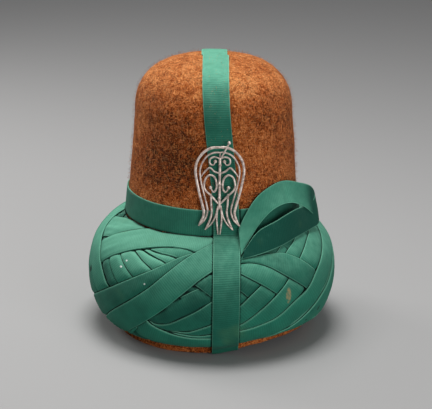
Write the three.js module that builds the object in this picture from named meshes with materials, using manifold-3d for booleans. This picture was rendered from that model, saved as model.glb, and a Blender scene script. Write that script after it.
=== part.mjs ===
// Dervish turban: a tall felt cap whose foot is a padded ring wound with flat cotton tape,
// a band and a strap of the same tape, a loop of tape at the side and an openwork brooch.
// Millimetres, +Z up, the front faces -Y. Azimuth is in degrees from the front towards +X.
import * as THREE from 'three';
import { mergeVertices } from 'three/addons/utils/BufferGeometryUtils.js';
import Module from 'manifold-3d';

const wasm = await Module();
wasm.setup();

// Felt cap
const rimRadius = 95;
const shoulderRadius = 77;
const shoulderHeight = 216;
const crownHeight = 272;
const feltWall = 3;
const domeRoundness = 2.94;
const domeSquareness = 2.53;
const rimRise = 8;

// Padded ring and its winding
const wrapHeight = 117;
const wrapBulge = 32.5;
const wrapHeartOut = 1.0;
const shoulderLean = 2.2;
const tapeWidth = 25;
const tapeThickness = 0.9;
const layerPitch = 1.6;
const layerCount = 4;
const hiddenLayers = 2;
const clearance = 0.4;

// Band, strap and loop
const bandGap = 1;
const strapTurnUp = 14;
const strapFrontLean = 14;
const loopLift = 1.2;

// Brooch and its pin
const broochWidth = 47;
const broochHeight = 86;
const broochThickness = 1.5;
const broochLift = 1;
const broochCentre = 6.5;
const wireWidth = 2.1;
const pinRadius = 0.75;
const pinHeadRadius = 1.6;

// Fineness of the faceted surfaces
const capSides = 48;
const ringSides = 40;
const stepLength = 11;
const acrossSteps = 3;
const ringRows = 11;
const domeSteps = 9;
const wireStepsPerPoint = 1.5;

const degrees = Math.PI / 180;
const bandFoot = wrapHeight + bandGap;
const broochFoot = bandFoot + broochLift;

// Lift of the rim off the table round the cap, in shares of rimRise
const rimLift = [
  { azimuth: -180, lift: 0.22 },
  { azimuth: -165, lift: 0.18 },
  { azimuth: -148, lift: 0 },
  { azimuth: -30, lift: 0 },
  { azimuth: -10, lift: 0.14 },
  { azimuth: 0, lift: 0.24 },
  { azimuth: 15, lift: 0.62 },
  { azimuth: 26, lift: 0.88 },
  { azimuth: 40, lift: 1.0 },
  { azimuth: 57, lift: 0.85 },
  { azimuth: 72, lift: 0.45 },
  { azimuth: 92, lift: 0 },
  { azimuth: 148, lift: 0 },
  { azimuth: 165, lift: 0.18 },
  { azimuth: 180, lift: 0.22 },
];

// Outline of the wound ring: up is a share of wrapHeight, out a share of wrapBulge beyond the cap
const wrapOutline = [
  { up: 1.0, out: 0.03 },
  { up: 0.944, out: 0.345 },
  { up: 0.857, out: 0.67 },
  { up: 0.742, out: 0.92 },
  { up: 0.605, out: 1.01 },
  { up: 0.462, out: 1.0 },
  { up: 0.308, out: 0.88 },
  { up: 0.167, out: 0.635 },
  { up: 0.085, out: 0.36 },
  { up: 0.045, out: 0.12 },
];

// Wound tapes seen from the front. Each edge point is [azimuth, share of the outline from its top],
// side 1 lays the tape below or left of that edge, and wide is the share of its width that shows
const frontTapes = [
  { name: 'sash_high', layer: 0, side: -1, wide: 0.9,
    edge: [[-84, 0.19], [-66, 0.15], [-50, 0.12], [-34, 0.09]] },
  { name: 'fan_strip_1', layer: 0, side: -1, wide: 0.5,
    edge: [[-57, 0.31], [-52, 0.4], [-46, 0.49]] },
  { name: 'fan_strip_2', layer: 0, side: -1, wide: 0.66,
    edge: [[-51, 0.26], [-44, 0.34], [-36, 0.41]] },
  { name: 'fan_strip_3', layer: 0, side: -1, wide: 0.3,
    edge: [[-41, 0.21], [-35, 0.26], [-27, 0.32]] },
  { name: 'fan_strip_4', layer: 0, side: -1, wide: 0.36,
    edge: [[-35, 0.185], [-28, 0.22], [-19, 0.26]] },
  { name: 'sash_low', layer: 1, side: -1, wide: 1,
    edge: [[-61, 0.365], [-51, 0.26], [-37, 0.16], [-24, 0.115], [-2, 0.11]] },
  { name: 'sweep_left', layer: 1, side: 1, wide: 1,
    edge: [[-86, 0.03], [-82, 0.16], [-76, 0.25], [-70, 0.32], [-61, 0.44], [-55, 0.53], [-48, 0.64],
      [-41, 0.77]] },
  { name: 'cross_left_low', layer: 2, side: 1, wide: 1,
    edge: [[-95, 0.84], [-85, 0.77], [-73, 0.69], [-55, 0.54], [-38, 0.39], [-21, 0.23], [-13, 0.16],
      [-3, 0.1]] },
  { name: 'cross_left_high', layer: 3, side: 1, wide: 1,
    edge: [[-66, 0.85], [-57, 0.76], [-49, 0.68], [-37, 0.54], [-28, 0.42], [-20, 0.29], [-12, 0.19],
      [-1, 0.08]] },
  { name: 'bowl_strip_1', layer: 0, side: 1, wide: 0.8,
    edge: [[-32, 0.7], [-27, 0.72], [-19, 0.69], [-10, 0.63], [0, 0.5], [13, 0.36], [26, 0.25],
      [40, 0.15]] },
  { name: 'bowl_strip_2', layer: 1, side: 1, wide: 1,
    edge: [[-21, 0.78], [-13, 0.77], [-5, 0.72], [1, 0.67], [13, 0.54], [22, 0.4], [32, 0.29], [41, 0.2],
      [54, 0.12]] },
  { name: 'bowl_strip_3', layer: 2, side: 1, wide: 0.9,
    edge: [[-14, 0.8], [-7, 0.8], [1, 0.78], [13, 0.68], [30, 0.49], [36, 0.39], [47, 0.28], [56, 0.2],
      [70, 0.12]] },
  { name: 'sweep_right', layer: 3, side: 1, wide: 1,
    edge: [[-30, 0.715], [-24, 0.75], [-13, 0.81], [1, 0.81], [13, 0.75], [30, 0.68], [43, 0.54], [54, 0.4],
      [66, 0.3], [81, 0.2], [90, 0.14]] },
  { name: 'cross_right_low', layer: 2, side: -1, wide: 0.9,
    edge: [[13.5, 0.31], [22, 0.4], [28.5, 0.465]] },
  { name: 'cross_right_high', layer: 3, side: -1, wide: 0.9,
    edge: [[14.5, 0.2], [25, 0.26], [33, 0.33], [41, 0.43], [46, 0.49]] },
];

// The plain winding round the sides and the back: two families of parallel tapes that cross
const rightFamily = {
  name: 'back_sweep_right', layer: 1, side: 1, wide: 1, first: 77, turn: 28.6, count: 5,
  edge: [[-40, 0.91], [-28, 0.8], [-12, 0.62], [2, 0.47], [17, 0.34], [34, 0.21], [47, 0.11]],
};
const leftFamily = {
  name: 'back_sweep_left', layer: 0, side: 1, wide: 1, first: -114, turn: -28, count: 6,
  edge: [[0, 0.04], [4, 0.16], [10, 0.25], [16, 0.32], [25, 0.44], [31, 0.53], [38, 0.64], [45, 0.76],
    [54, 0.9]],
};

// Loop of tape beside the strap. Each edge of it stands at an azimuth, at a share of wrapHeight, and out
// of the cap by a share of tapeWidth
const loopStations = [
  { lowAt: 15, lowUp: 0.885, lowOut: 0.75, highAt: 16, highUp: 1.06, highOut: 0.2 },
  { lowAt: 20, lowUp: 0.955, lowOut: 0.46, highAt: 20, highUp: 1.155, highOut: 0.14 },
  { lowAt: 29, lowUp: 1.08, lowOut: 0.23, highAt: 29, highUp: 1.29, highOut: 0.05 },
  { lowAt: 38.5, lowUp: 1.185, lowOut: 0.3, highAt: 39.5, highUp: 1.355, highOut: 0.02 },
  { lowAt: 51.5, lowUp: 1.21, lowOut: 0.36, highAt: 53.5, highUp: 1.375, highOut: 0.03 },
  { lowAt: 64, lowUp: 1.155, lowOut: 0.5, highAt: 66, highUp: 1.33, highOut: 0.3 },
  { lowAt: 73, lowUp: 1.065, lowOut: 0.65, highAt: 77, highUp: 1.26, highOut: 0.56 },
  { lowAt: 80, lowUp: 0.96, lowOut: 0.77, highAt: 84, highUp: 1.18, highOut: 0.63 },
  { lowAt: 77, lowUp: 0.935, lowOut: 0.79, highAt: 80, highUp: 1.145, highOut: 0.65 },
  { lowAt: 67, lowUp: 0.925, lowOut: 0.63, highAt: 69.5, highUp: 1.13, highOut: 0.49 },
  { lowAt: 53, lowUp: 0.925, lowOut: 0.61, highAt: 52, highUp: 1.145, highOut: 0.48 },
  { lowAt: 37.5, lowUp: 0.9, lowOut: 0.73, highAt: 39, highUp: 1.1, highOut: 0.43 },
  { lowAt: 25, lowUp: 0.875, lowOut: 0.82, highAt: 27, highUp: 1.04, highOut: 0.4 },
  { lowAt: 15.5, lowUp: 0.86, lowOut: 0.87, highAt: 16.5, highUp: 0.915, highOut: 0.73 },
];

// Wires of the brooch: each point is [share of half the width, share of the height]
const broochWires = [
  { mirrored: true, wide: 1.15,
    path: [[0, 0.985], [0.3, 0.98], [0.62, 0.935], [0.88, 0.84], [0.965, 0.73], [0.9, 0.6], [0.78, 0.45],
      [0.67, 0.34], [0.61, 0.26], [0.67, 0.19], [0.82, 0.11]] },
  { mirrored: true, wide: 0.8,
    path: [[0, 0.93], [0.26, 0.925], [0.52, 0.885], [0.72, 0.8], [0.79, 0.71], [0.73, 0.59], [0.61, 0.46],
      [0.5, 0.34], [0.47, 0.27], [0.58, 0.18], [0.82, 0.11]] },
  { mirrored: true, wide: 0.9,
    path: [[0.34, 0.47], [0.33, 0.36], [0.3, 0.26], [0.38, 0.17], [0.56, 0.065]] },
  { mirrored: true, wide: 0.7,
    path: [[0.06, 0.34], [0.14, 0.23], [0.3, 0.14], [0.56, 0.065]] },
  { mirrored: true, wide: 0.8,
    path: [[0.04, 0.34], [0.1, 0.2], [0.04, 0.015]] },
  { mirrored: true, wide: 0.9,
    path: [[0.05, 0.36], [0.3, 0.44], [0.6, 0.53], [0.56, 0.64], [0.36, 0.68], [0.17, 0.64], [0.12, 0.54],
      [0.24, 0.49], [0.36, 0.54]] },
  { mirrored: true, wide: 0.8,
    path: [[0.02, 0.7], [0.22, 0.72], [0.4, 0.76], [0.58, 0.72], [0.74, 0.66]] },
  { mirrored: true, wide: 0.8,
    path: [[0.02, 0.86], [0.2, 0.88], [0.38, 0.86], [0.4, 0.81], [0.26, 0.79], [0.18, 0.83]] },
  { mirrored: false, wide: 1.1,
    path: [[0, 0.3], [0, 0.5], [0, 0.72], [0, 0.93]] },
];
const broochBalls = [
  [0, 0.79], [0, 0.58], [0, 0.42], [0.36, 0.54], [-0.36, 0.54], [0.18, 0.83], [-0.18, 0.83],
];
const ballRadius = 1.7;

const cotton = new THREE.Color(0x2f7f6a);
const paleCotton = new THREE.Color(0x6cb79b);
const felt = new THREE.Color(0xa3602d);
const silver = new THREE.Color(0xb3a79d);

function cloth(colour) {
  return new THREE.MeshStandardMaterial({ color: colour, roughness: 0.9, metalness: 0 });
}

function metal() {
  return new THREE.MeshStandardMaterial({ color: silver, roughness: 0.45, metalness: 1 });
}

// Height of the lifted rim at an azimuth
function rimHeight(azimuth) {
  const turned = ((azimuth + 540) % 360) - 180;
  const next = Math.max(1, rimLift.findIndex((row) => row.azimuth >= turned));
  const low = rimLift[next - 1];
  const high = rimLift[next];
  const share = (turned - low.azimuth) / (high.azimuth - low.azimuth);
  const eased = share * share * (3 - 2 * share);
  return rimRise * (low.lift + (high.lift - low.lift) * eased);
}

// A point at a radius and height, set round the cap and lifted with the rim below the winding's top
function place(azimuth, radius, height) {
  const lifted = height + rimHeight(azimuth) * Math.max(0, 1 - Math.max(height, 0) / wrapHeight);
  const turn = azimuth * degrees;
  return new THREE.Vector3(radius * Math.sin(turn), -radius * Math.cos(turn), lifted);
}

function capRadius(height) {
  return rimRadius - (rimRadius - shoulderRadius) * Math.max(height, 0) / shoulderHeight;
}

// Half section of the cap from its rim to the middle of its crown, grown outwards by offset
function capSection(offset) {
  const points = [];
  [0, wrapHeight, (wrapHeight + shoulderHeight) / 2].forEach((height) => {
    points.push(new THREE.Vector2(capRadius(height) + offset, height));
  });
  for (let i = 0; i <= domeSteps; i += 1) {
    const turn = Math.PI / 2 * i / domeSteps;
    const radius = (shoulderRadius + offset) * Math.max(Math.cos(turn), 0) ** (2 / domeRoundness);
    const rise = (crownHeight - shoulderHeight + offset) * Math.sin(turn) ** (2 / domeSquareness);
    points.push(new THREE.Vector2(i === domeSteps ? 0 : radius, shoulderHeight + rise));
  }
  return points;
}

// Turns a geometry's faces outwards
function facingOut(geometry) {
  const position = geometry.attributes.position;
  const index = geometry.index.array;
  const corner = [new THREE.Vector3(), new THREE.Vector3(), new THREE.Vector3()];
  let volume = 0;
  for (let i = 0; i < index.length; i += 3) {
    corner.forEach((point, k) => point.fromBufferAttribute(position, index[i + k]));
    volume += corner[0].dot(corner[1].clone().cross(corner[2]));
  }
  if (volume < 0) {
    for (let i = 0; i < index.length; i += 3) {
      [index[i], index[i + 1]] = [index[i + 1], index[i]];
    }
  }
  geometry.computeVertexNormals();
  return geometry;
}

// Closed body through a row of sections. Each section is a ring of corners: its inner row, then its
// outer row backwards. The row of sections closes on itself where looped, and has two ends otherwise
function throughSections(sections, looped) {
  const size = sections[0].length;
  const half = size / 2;
  const positions = sections.flat().flatMap((point) => [point.x, point.y, point.z]);
  const index = [];
  const quad = (a, b, c, d) => index.push(a, b, c, a, c, d);
  const spans = looped ? sections.length : sections.length - 1;
  for (let i = 0; i < spans; i += 1) {
    const here = i * size;
    const there = ((i + 1) % sections.length) * size;
    for (let k = 0; k < size; k += 1) {
      const next = (k + 1) % size;
      quad(here + k, here + next, there + next, there + k);
    }
  }
  if (!looped) {
    const last = (sections.length - 1) * size;
    for (let k = 0; k < half - 1; k += 1) {
      quad(k, size - 1 - k, size - 2 - k, k + 1);
      quad(last + k, last + k + 1, last + size - 2 - k, last + size - 1 - k);
    }
  }
  const geometry = new THREE.BufferGeometry();
  geometry.setAttribute('position', new THREE.Float32BufferAttribute(positions, 3));
  geometry.setIndex(index);
  return facingOut(geometry);
}

// The outline of the winding, by length from its top edge to its foot
const wrapCurve = new THREE.SplineCurve(wrapOutline.map((row) => {
  const height = row.up * wrapHeight;
  return new THREE.Vector2(capRadius(height) + row.out * wrapBulge, height);
}));
const wrapLength = wrapCurve.getLength();
const wrapHeart = new THREE.Vector2(rimRadius + wrapHeartOut, wrapHeight / 2);

// Lean of the winding's shoulder: fuller on the right, lower on the left
function leanAt(azimuth, height) {
  const shoulder = Math.sin(Math.PI * THREE.MathUtils.clamp(height / wrapHeight, 0, 1)) ** 2;
  const upper = THREE.MathUtils.smoothstep(height, wrapHeight / 2, wrapHeight);
  return shoulderLean * shoulder * upper * Math.sin(azimuth * degrees);
}

// Point of the winding's surface, moved by offset away from the heart of the ring's section
function wrapSection(azimuth, share, offset) {
  const point = wrapCurve.getPointAt(THREE.MathUtils.clamp(share, 0, 1));
  const outwards = point.clone().sub(wrapHeart).normalize();
  point.addScaledVector(outwards, offset);
  point.x += leanAt(azimuth, point.y);
  return point;
}

function wrapPoint(azimuth, share, offset) {
  const point = wrapSection(azimuth, share, offset);
  return place(azimuth, point.x, point.y);
}

// How far hidden turns under the tapes fill the ring out beyond the front's crossing tapes
function hiddenTurns(azimuth) {
  const turned = ((azimuth + 540) % 360) - 180;
  const left = THREE.MathUtils.smoothstep(-turned, 70, 92);
  const right = THREE.MathUtils.smoothstep(turned, 82, 104);
  return Math.max(left, right) * hiddenLayers * layerPitch;
}

// Outer face of a layer of tape, never outside the winding's outline
function layerFace(layer, azimuth) {
  return Math.min(0, (layer + 1 - layerCount) * layerPitch + hiddenTurns(azimuth));
}

// One wound tape: its listed edge is sampled evenly and the width is stepped over the surface
function woundTape(row) {
  const mmPerDegree = (share) => wrapSection(0, share, 0).x * degrees;
  const guide = new THREE.CatmullRomCurve3(row.edge.map(([azimuth, share]) => (
    new THREE.Vector3(azimuth * rimRadius * degrees, share * wrapLength, 0))), false, 'centripetal');
  const steps = Math.max(3, Math.round(guide.getLength() / stepLength));
  const tuck = clearance * 2 / wrapLength;
  const sections = [];
  for (let i = 0; i <= steps; i += 1) {
    const start = guide.getPointAt(i / steps);
    const heading = guide.getTangentAt(i / steps);
    let azimuth = start.x / (rimRadius * degrees);
    let share = start.y / wrapLength;
    const along = heading.x / rimRadius * mmPerDegree(share) / degrees;
    const run = new THREE.Vector2(along, heading.y).normalize();
    const across = new THREE.Vector2(-run.y, run.x).multiplyScalar(row.side);
    const inner = [];
    const outside = [];
    for (let k = 0; k <= acrossSteps; k += 1) {
      const kept = tuck * (acrossSteps - k + 1);
      const held = THREE.MathUtils.clamp(share, kept, 1 - kept);
      const face = layerFace(row.layer, azimuth);
      inner.push(wrapPoint(azimuth, held, face - tapeThickness));
      outside.unshift(wrapPoint(azimuth, held, face));
      const step = tapeWidth * row.wide / acrossSteps;
      azimuth += across.x * step / mmPerDegree(held);
      share += across.y * step / wrapLength;
    }
    sections.push([...inner, ...outside]);
  }
  return throughSections(sections, false);
}

function feltCap() {
  const outer = capSection(0);
  const inner = capSection(-feltWall);
  const profile = [...inner].reverse().concat(outer);
  const geometry = new THREE.LatheGeometry(profile, capSides);
  geometry.rotateX(Math.PI / 2);
  geometry.deleteAttribute('normal');
  geometry.deleteAttribute('uv');
  const merged = mergeVertices(geometry, 0.001);
  const position = merged.attributes.position;
  for (let i = 0; i < position.count; i += 1) {
    const azimuth = Math.atan2(position.getX(i), -position.getY(i)) / degrees;
    const radius = Math.hypot(position.getX(i), position.getY(i));
    const point = place(azimuth, radius, position.getZ(i));
    position.setXYZ(i, point.x, point.y, point.z);
  }
  return facingOut(merged);
}

// The padding inside the winding, which follows the cap's wall on its inner side
function paddedRing() {
  const sections = [];
  for (let i = 0; i < ringSides; i += 1) {
    const azimuth = 360 * i / ringSides - 180;
    const face = layerFace(0, azimuth) - layerPitch;
    const outline = Array.from({ length: ringRows + 1 }, (unused, k) => (
      wrapSection(azimuth, k / ringRows, face)));
    const inner = [outline[ringRows], outline[0]].map((point) => (
      place(azimuth, capRadius(point.y) + clearance, point.y)));
    sections.push([...inner, ...outline.map((point) => place(azimuth, point.x, point.y))]);
  }
  return throughSections(sections, true);
}

// Flat ring of tape round the cap just above the winding
function crownBand() {
  const sections = [];
  const heights = [bandFoot, bandFoot + tapeWidth];
  for (let i = 0; i < capSides; i += 1) {
    const azimuth = 360 * i / capSides - 180;
    const inner = heights.map((height) => place(azimuth, capRadius(height) + clearance, height));
    const outside = heights.map((height) => (
      place(azimuth, capRadius(height) + clearance + tapeThickness, height))).reverse();
    sections.push([...inner, ...outside]);
  }
  return throughSections(sections, true);
}

// Inner face of the strap in the cap's half section, from inside the rim to the middle of the crown
function strapRoute() {
  const insideAt = (height) => capRadius(height) - feltWall - clearance;
  const foot = wrapCurve.getPointAt(1);
  const route = [
    new THREE.Vector2(insideAt(strapTurnUp), strapTurnUp),
    new THREE.Vector2(insideAt(0), -clearance),
    new THREE.Vector2(rimRadius + clearance, -clearance),
    new THREE.Vector2(foot.x + clearance, foot.y - clearance * 2),
  ];
  const windings = 13;
  for (let i = windings; i >= 1; i -= 1) {
    route.push(wrapSection(0, i / (windings + 1), clearance * 2));
  }
  const overBand = tapeThickness + clearance * 2;
  route.push(new THREE.Vector2(capRadius(bandFoot) + overBand + clearance, bandFoot + clearance));
  const bandTop = bandFoot + tapeWidth;
  route.push(new THREE.Vector2(capRadius(bandTop) + overBand, bandTop + clearance));
  const crown = capSection(clearance);
  crown.filter((point) => point.y > bandTop + 6 && point.x > tapeWidth * 0.75)
    .forEach((point) => route.push(point));
  route.push(new THREE.Vector2(0, crownHeight + clearance));
  return route;
}

// Moves an open half-section line sideways by a distance
function besideLine(points, distance) {
  return points.map((point, i) => {
    const before = points[Math.max(i - 1, 0)];
    const after = points[Math.min(i + 1, points.length - 1)];
    const first = point.clone().sub(before).normalize();
    const second = after.clone().sub(point).normalize();
    const heading = first.clone().add(second).normalize();
    const normal = new THREE.Vector2(heading.y, -heading.x);
    const spread = i > 0 && i < points.length - 1 ? Math.max(0.5, Math.abs(heading.dot(first))) : 1;
    return point.clone().addScaledVector(normal, distance / spread);
  });
}

// One tape from inside the front rim over the crown to inside the back rim
function crownStrap() {
  const inner = strapRoute();
  const outer = besideLine(inner, tapeThickness);
  outer[outer.length - 1].set(0, inner[inner.length - 1].y + tapeThickness);
  const offsets = [-0.5, 0, 0.5].map((share) => share * tapeWidth);
  const centreAt = (height, front) => (
    front ? strapFrontLean * (1 - 0.9 * THREE.MathUtils.smoothstep(height, wrapHeight, crownHeight)) : 0);
  const corner = (point, front, offset) => {
    const x = centreAt(point.y, front) + offset;
    if (point.x === 0) {
      return new THREE.Vector3(x, 0, point.y);
    }
    const y = Math.sqrt(point.x ** 2 - x ** 2) * (front ? -1 : 1);
    const azimuth = Math.atan2(x, -y) / degrees;
    return new THREE.Vector3(x, y, place(azimuth, point.x, point.y).z);
  };
  const sectionAt = (i, front) => [
    ...offsets.map((offset) => corner(inner[i], front, offset)),
    ...offsets.map((offset) => corner(outer[i], front, offset)).reverse(),
  ];
  const frontSections = inner.map((point, i) => sectionAt(i, true));
  const backSections = inner.slice(0, -1).map((point, i) => sectionAt(i, false)).reverse();
  return throughSections([...frontSections, ...backSections], false);
}

// The loop of tape: a ribbon through its stations, given its thickness away from its own plane
function sideLoop() {
  const edges = ['low', 'high'].map((edge) => new THREE.CatmullRomCurve3(loopStations.map((row) => {
    const height = row[`${edge}Up`] * wrapHeight;
    const radius = capRadius(height) + row[`${edge}Out`] * tapeWidth + loopLift;
    return place(row[`${edge}At`], radius, height + loopLift);
  }), false, 'centripetal'));
  const steps = (loopStations.length - 1) * 2;
  const sections = [];
  for (let i = 0; i <= steps; i += 1) {
    const low = edges[0].getPoint(i / steps);
    const high = edges[1].getPoint(i / steps);
    const middle = low.clone().lerp(high, 0.5);
    const heading = edges[0].getTangent(i / steps).add(edges[1].getTangent(i / steps)).normalize();
    const normal = high.clone().sub(low).cross(heading).normalize().multiplyScalar(tapeThickness / 2);
    const line = [low, middle, high];
    sections.push([
      ...line.map((point) => point.clone().sub(normal)),
      ...line.map((point) => point.clone().add(normal)).reverse(),
    ]);
  }
  return throughSections(sections, false);
}

function solidOf(geometry) {
  const bare = geometry.clone();
  bare.deleteAttribute('normal');
  bare.deleteAttribute('uv');
  const merged = mergeVertices(bare, 0.0001);
  return new wasm.Manifold(new wasm.Mesh({
    numProp: 3,
    vertProperties: new Float32Array(merged.attributes.position.array),
    triVerts: new Uint32Array(merged.index.array),
  }));
}

function geometryOf(solid) {
  const mesh = solid.getMesh();
  const geometry = new THREE.BufferGeometry();
  geometry.setAttribute('position', new THREE.BufferAttribute(new Float32Array(mesh.vertProperties), 3));
  geometry.setIndex(new THREE.BufferAttribute(new Uint32Array(mesh.triVerts), 1));
  geometry.computeVertexNormals();
  return geometry;
}

// Flat wire of the brooch along a path of shares, with its ends drawn fine
function broochWire(path, wide, flip) {
  const line = new THREE.SplineCurve(path.map(([side, up]) => (
    new THREE.Vector2(side * flip * broochWidth / 2, up * broochHeight))));
  const steps = Math.round(path.length * wireStepsPerPoint);
  const left = [];
  const right = [];
  for (let i = 0; i <= steps; i += 1) {
    const point = line.getPoint(i / steps);
    const heading = line.getTangent(i / steps);
    const half = wireWidth * wide / 2 * (i === steps ? 0.6 : 1);
    left.push(new THREE.Vector2(point.x - heading.y * half, point.y + heading.x * half));
    right.unshift(new THREE.Vector2(point.x + heading.y * half, point.y - heading.x * half));
  }
  return new THREE.ExtrudeGeometry(new THREE.Shape([...left, ...right]), {
    depth: broochThickness, bevelEnabled: false,
  });
}

// Stands a flat outline up in front of the strap, leaning with the cap's wall
function standUp(geometry, forward) {
  const lean = Math.atan((rimRadius - shoulderRadius) / shoulderHeight);
  geometry.rotateX(Math.PI / 2 - lean);
  const overStrap = capRadius(broochFoot) + tapeThickness * 2 + clearance * 4 + forward;
  geometry.translate(broochCentre, -overStrap, broochFoot);
  return geometry;
}

function brooch() {
  const pieces = [];
  broochWires.forEach((wire) => {
    pieces.push(broochWire(wire.path, wire.wide, 1));
    if (wire.mirrored) {
      pieces.push(broochWire(wire.path, wire.wide, -1));
    }
  });
  broochBalls.forEach(([side, up]) => {
    const ball = new THREE.CylinderGeometry(ballRadius, ballRadius, broochThickness, 10);
    ball.rotateX(Math.PI / 2);
    ball.translate(side * broochWidth / 2, up * broochHeight, broochThickness / 2);
    pieces.push(ball);
  });
  const joined = pieces.map(solidOf).reduce((whole, piece) => whole.add(piece));
  return standUp(geometryOf(joined), 0);
}

// Headed pin that crosses the top of the brooch
function broochPin() {
  const from = new THREE.Vector2(0.05 * broochWidth / 2, 0.87 * broochHeight);
  const to = new THREE.Vector2(0.36 * broochWidth / 2, 1.04 * broochHeight);
  const length = from.distanceTo(to);
  const shank = new THREE.CylinderGeometry(pinRadius, pinRadius, length, 8);
  const head = new THREE.SphereGeometry(pinHeadRadius, 10, 6);
  head.translate(0, length / 2, 0);
  const pin = geometryOf(solidOf(shank).add(solidOf(head)));
  pin.rotateZ(-Math.atan2(to.x - from.x, to.y - from.y));
  const forward = broochThickness + pinRadius + clearance;
  pin.translate((from.x + to.x) / 2, (from.y + to.y) / 2, forward);
  return standUp(pin, 0);
}

const turban = new THREE.Group();

function add(name, geometry, material) {
  const mesh = new THREE.Mesh(geometry, material);
  mesh.name = name;
  turban.add(mesh);
}

function backTapes(family) {
  return Array.from({ length: family.count }, (unused, i) => ({
    ...family,
    name: `${family.name}_${i + 1}`,
    edge: family.edge.map(([azimuth, share]) => [azimuth + family.first + family.turn * i, share]),
  }));
}

add('felt_cap', feltCap(), cloth(felt));
add('padded_ring', paddedRing(), cloth(cotton));
[...frontTapes, ...backTapes(rightFamily), ...backTapes(leftFamily)].forEach((row) => {
  add(row.name, woundTape(row), cloth(row.layer % 2 ? cotton : paleCotton));
});
add('crown_band', crownBand(), cloth(cotton));
add('crown_strap', crownStrap(), cloth(paleCotton));
add('side_loop', sideLoop(), cloth(cotton));
add('brooch', brooch(), metal());
add('brooch_pin', broochPin(), metal());

export default turban;
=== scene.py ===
import math
import bpy
import numpy as np
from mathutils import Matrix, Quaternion, Vector


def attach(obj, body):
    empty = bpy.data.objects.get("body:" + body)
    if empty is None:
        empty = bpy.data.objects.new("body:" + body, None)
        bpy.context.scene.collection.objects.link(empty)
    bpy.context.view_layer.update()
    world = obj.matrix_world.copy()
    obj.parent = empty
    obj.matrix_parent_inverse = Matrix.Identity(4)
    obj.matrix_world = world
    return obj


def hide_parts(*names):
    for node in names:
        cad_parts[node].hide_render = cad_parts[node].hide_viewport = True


# Dervish turban: felt cap, wound ring, band, strap, side loop and openwork brooch.
# Shapes are worked out in millimetres, azimuth in degrees from the front towards +X.
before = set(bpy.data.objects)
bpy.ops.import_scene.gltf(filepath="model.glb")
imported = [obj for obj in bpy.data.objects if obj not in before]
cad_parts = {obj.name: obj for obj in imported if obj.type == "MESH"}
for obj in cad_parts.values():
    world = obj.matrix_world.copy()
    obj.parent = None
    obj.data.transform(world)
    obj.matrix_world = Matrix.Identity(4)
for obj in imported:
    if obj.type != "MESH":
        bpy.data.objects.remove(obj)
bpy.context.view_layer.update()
mm = 0.001
rootBody = "root"
print("frame loaded,", len(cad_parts), "solids")

capSize = {
    "rimRadius": 95.0,
    "shoulderRadius": 77.0,
    "shoulderHeight": 216.0,
    "crownHeight": 272.0,
    "wall": 3.0,
    "roundness": 2.94,
    "squareness": 2.53,
    "rimRise": 8.0,
    # azimuth, lift of the rim off the table as a share of rimRise
    "rimLift": [(-180, 0.22), (-165, 0.18), (-148, 0), (-30, 0), (-10, 0.14), (0, 0.24), (15, 0.62),
                (26, 0.88), (40, 1.0), (57, 0.85), (72, 0.45), (92, 0), (148, 0), (165, 0.18), (180, 0.22)],
}
wrapSize = {
    "height": 117.0,
    "footRise": 2.0,
    "footFrom": 0.86,
    "bulge": 32.5,
    "heartOut": 1.0,
    "lean": 2.2,
    # share of the height, share of the bulge outside the cap
    "outline": [(1.0, 0.03), (0.944, 0.345), (0.857, 0.67), (0.742, 0.92), (0.605, 1.01), (0.462, 1.0),
                (0.308, 0.88), (0.167, 0.635), (0.085, 0.36), (0.045, 0.12)],
}
tapeSize = {"width": 25.0, "thickness": 0.9, "gap": 0.22, "clearance": 0.4, "edgeRound": 0.6,
            "strapCentre": 14.0}


# plain geometry helpers
def smoothStep(value, low, high):
    share = np.clip((np.asarray(value, float) - low) / (high - low), 0, 1)
    return share * share * (3 - 2 * share)


def nearness(away, reach):
    # 1 at no distance, fading out over that reach
    return np.exp(-(away / reach) ** 2)


def unit(vectors):
    return vectors / np.linalg.norm(vectors, axis=-1)[..., None]


def pairs(a, b):
    return np.stack(np.broadcast_arrays(a, b), axis=-1)


def throughPoints(points, perSpan=16, power=0.5, mirrorEnds=True):
    # smooth line through the points
    p = np.asarray(points, float)
    first = 2 * p[0] - p[1] if mirrorEnds else p[0]
    last = 2 * p[-1] - p[-2] if mirrorEnds else p[-1]
    q = np.vstack([first, p, last])
    u = np.linspace(0, 1, perSpan, endpoint=False)[:, None]
    line = []
    for i in range(len(p) - 1):
        a, b, c, d = q[i:i + 4]
        t0, t1, t2 = [max(np.linalg.norm(w), 1e-6) ** power for w in (b - a, c - b, d - c)]
        leave = ((b - a) / t0 - (c - a) / (t0 + t1) + (c - b) / t1) * t1
        reach = ((c - b) / t1 - (d - b) / (t1 + t2) + (d - c) / t2) * t1
        line.append((2 * u**3 - 3 * u**2 + 1) * b + (u**3 - 2 * u**2 + u) * leave
                    + (3 * u**2 - 2 * u**3) * c + (u**3 - u**2) * reach)
    return np.vstack(line + [p[-1:]])


def lengthsAlong(line):
    return np.concatenate([[0], np.cumsum(np.linalg.norm(np.diff(line, axis=0), axis=1))])


def readLine(line, run, at):
    return np.stack([np.interp(at, run, line[:, k]) for k in range(line.shape[1])], axis=-1)


def evenly(line, count):
    run = lengthsAlong(line)
    return readLine(line, run, np.linspace(0, run[-1], count))


def cloud(points, size, seed):
    # smooth random field between -1 and 1 with features of about that size
    table = np.random.default_rng(seed).uniform(-1, 1, (32, 32, 32))
    p = np.asarray(points, float) / size + 320
    base = np.floor(p).astype(int)
    t = smoothStep(p - base, 0, 1)
    total = 0
    for corner in np.ndindex(2, 2, 2):
        weight = np.prod(np.where(np.array(corner) == 1, t, 1 - t), axis=-1)
        cell = (base + corner) % 32
        total = total + weight * table[cell[..., 0], cell[..., 1], cell[..., 2]]
    return total


def relief(points, *layers):
    # bumps in layers of feature size, seed and height
    return sum(cloud(points, size, seed) * height for size, seed, height in layers)


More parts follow.
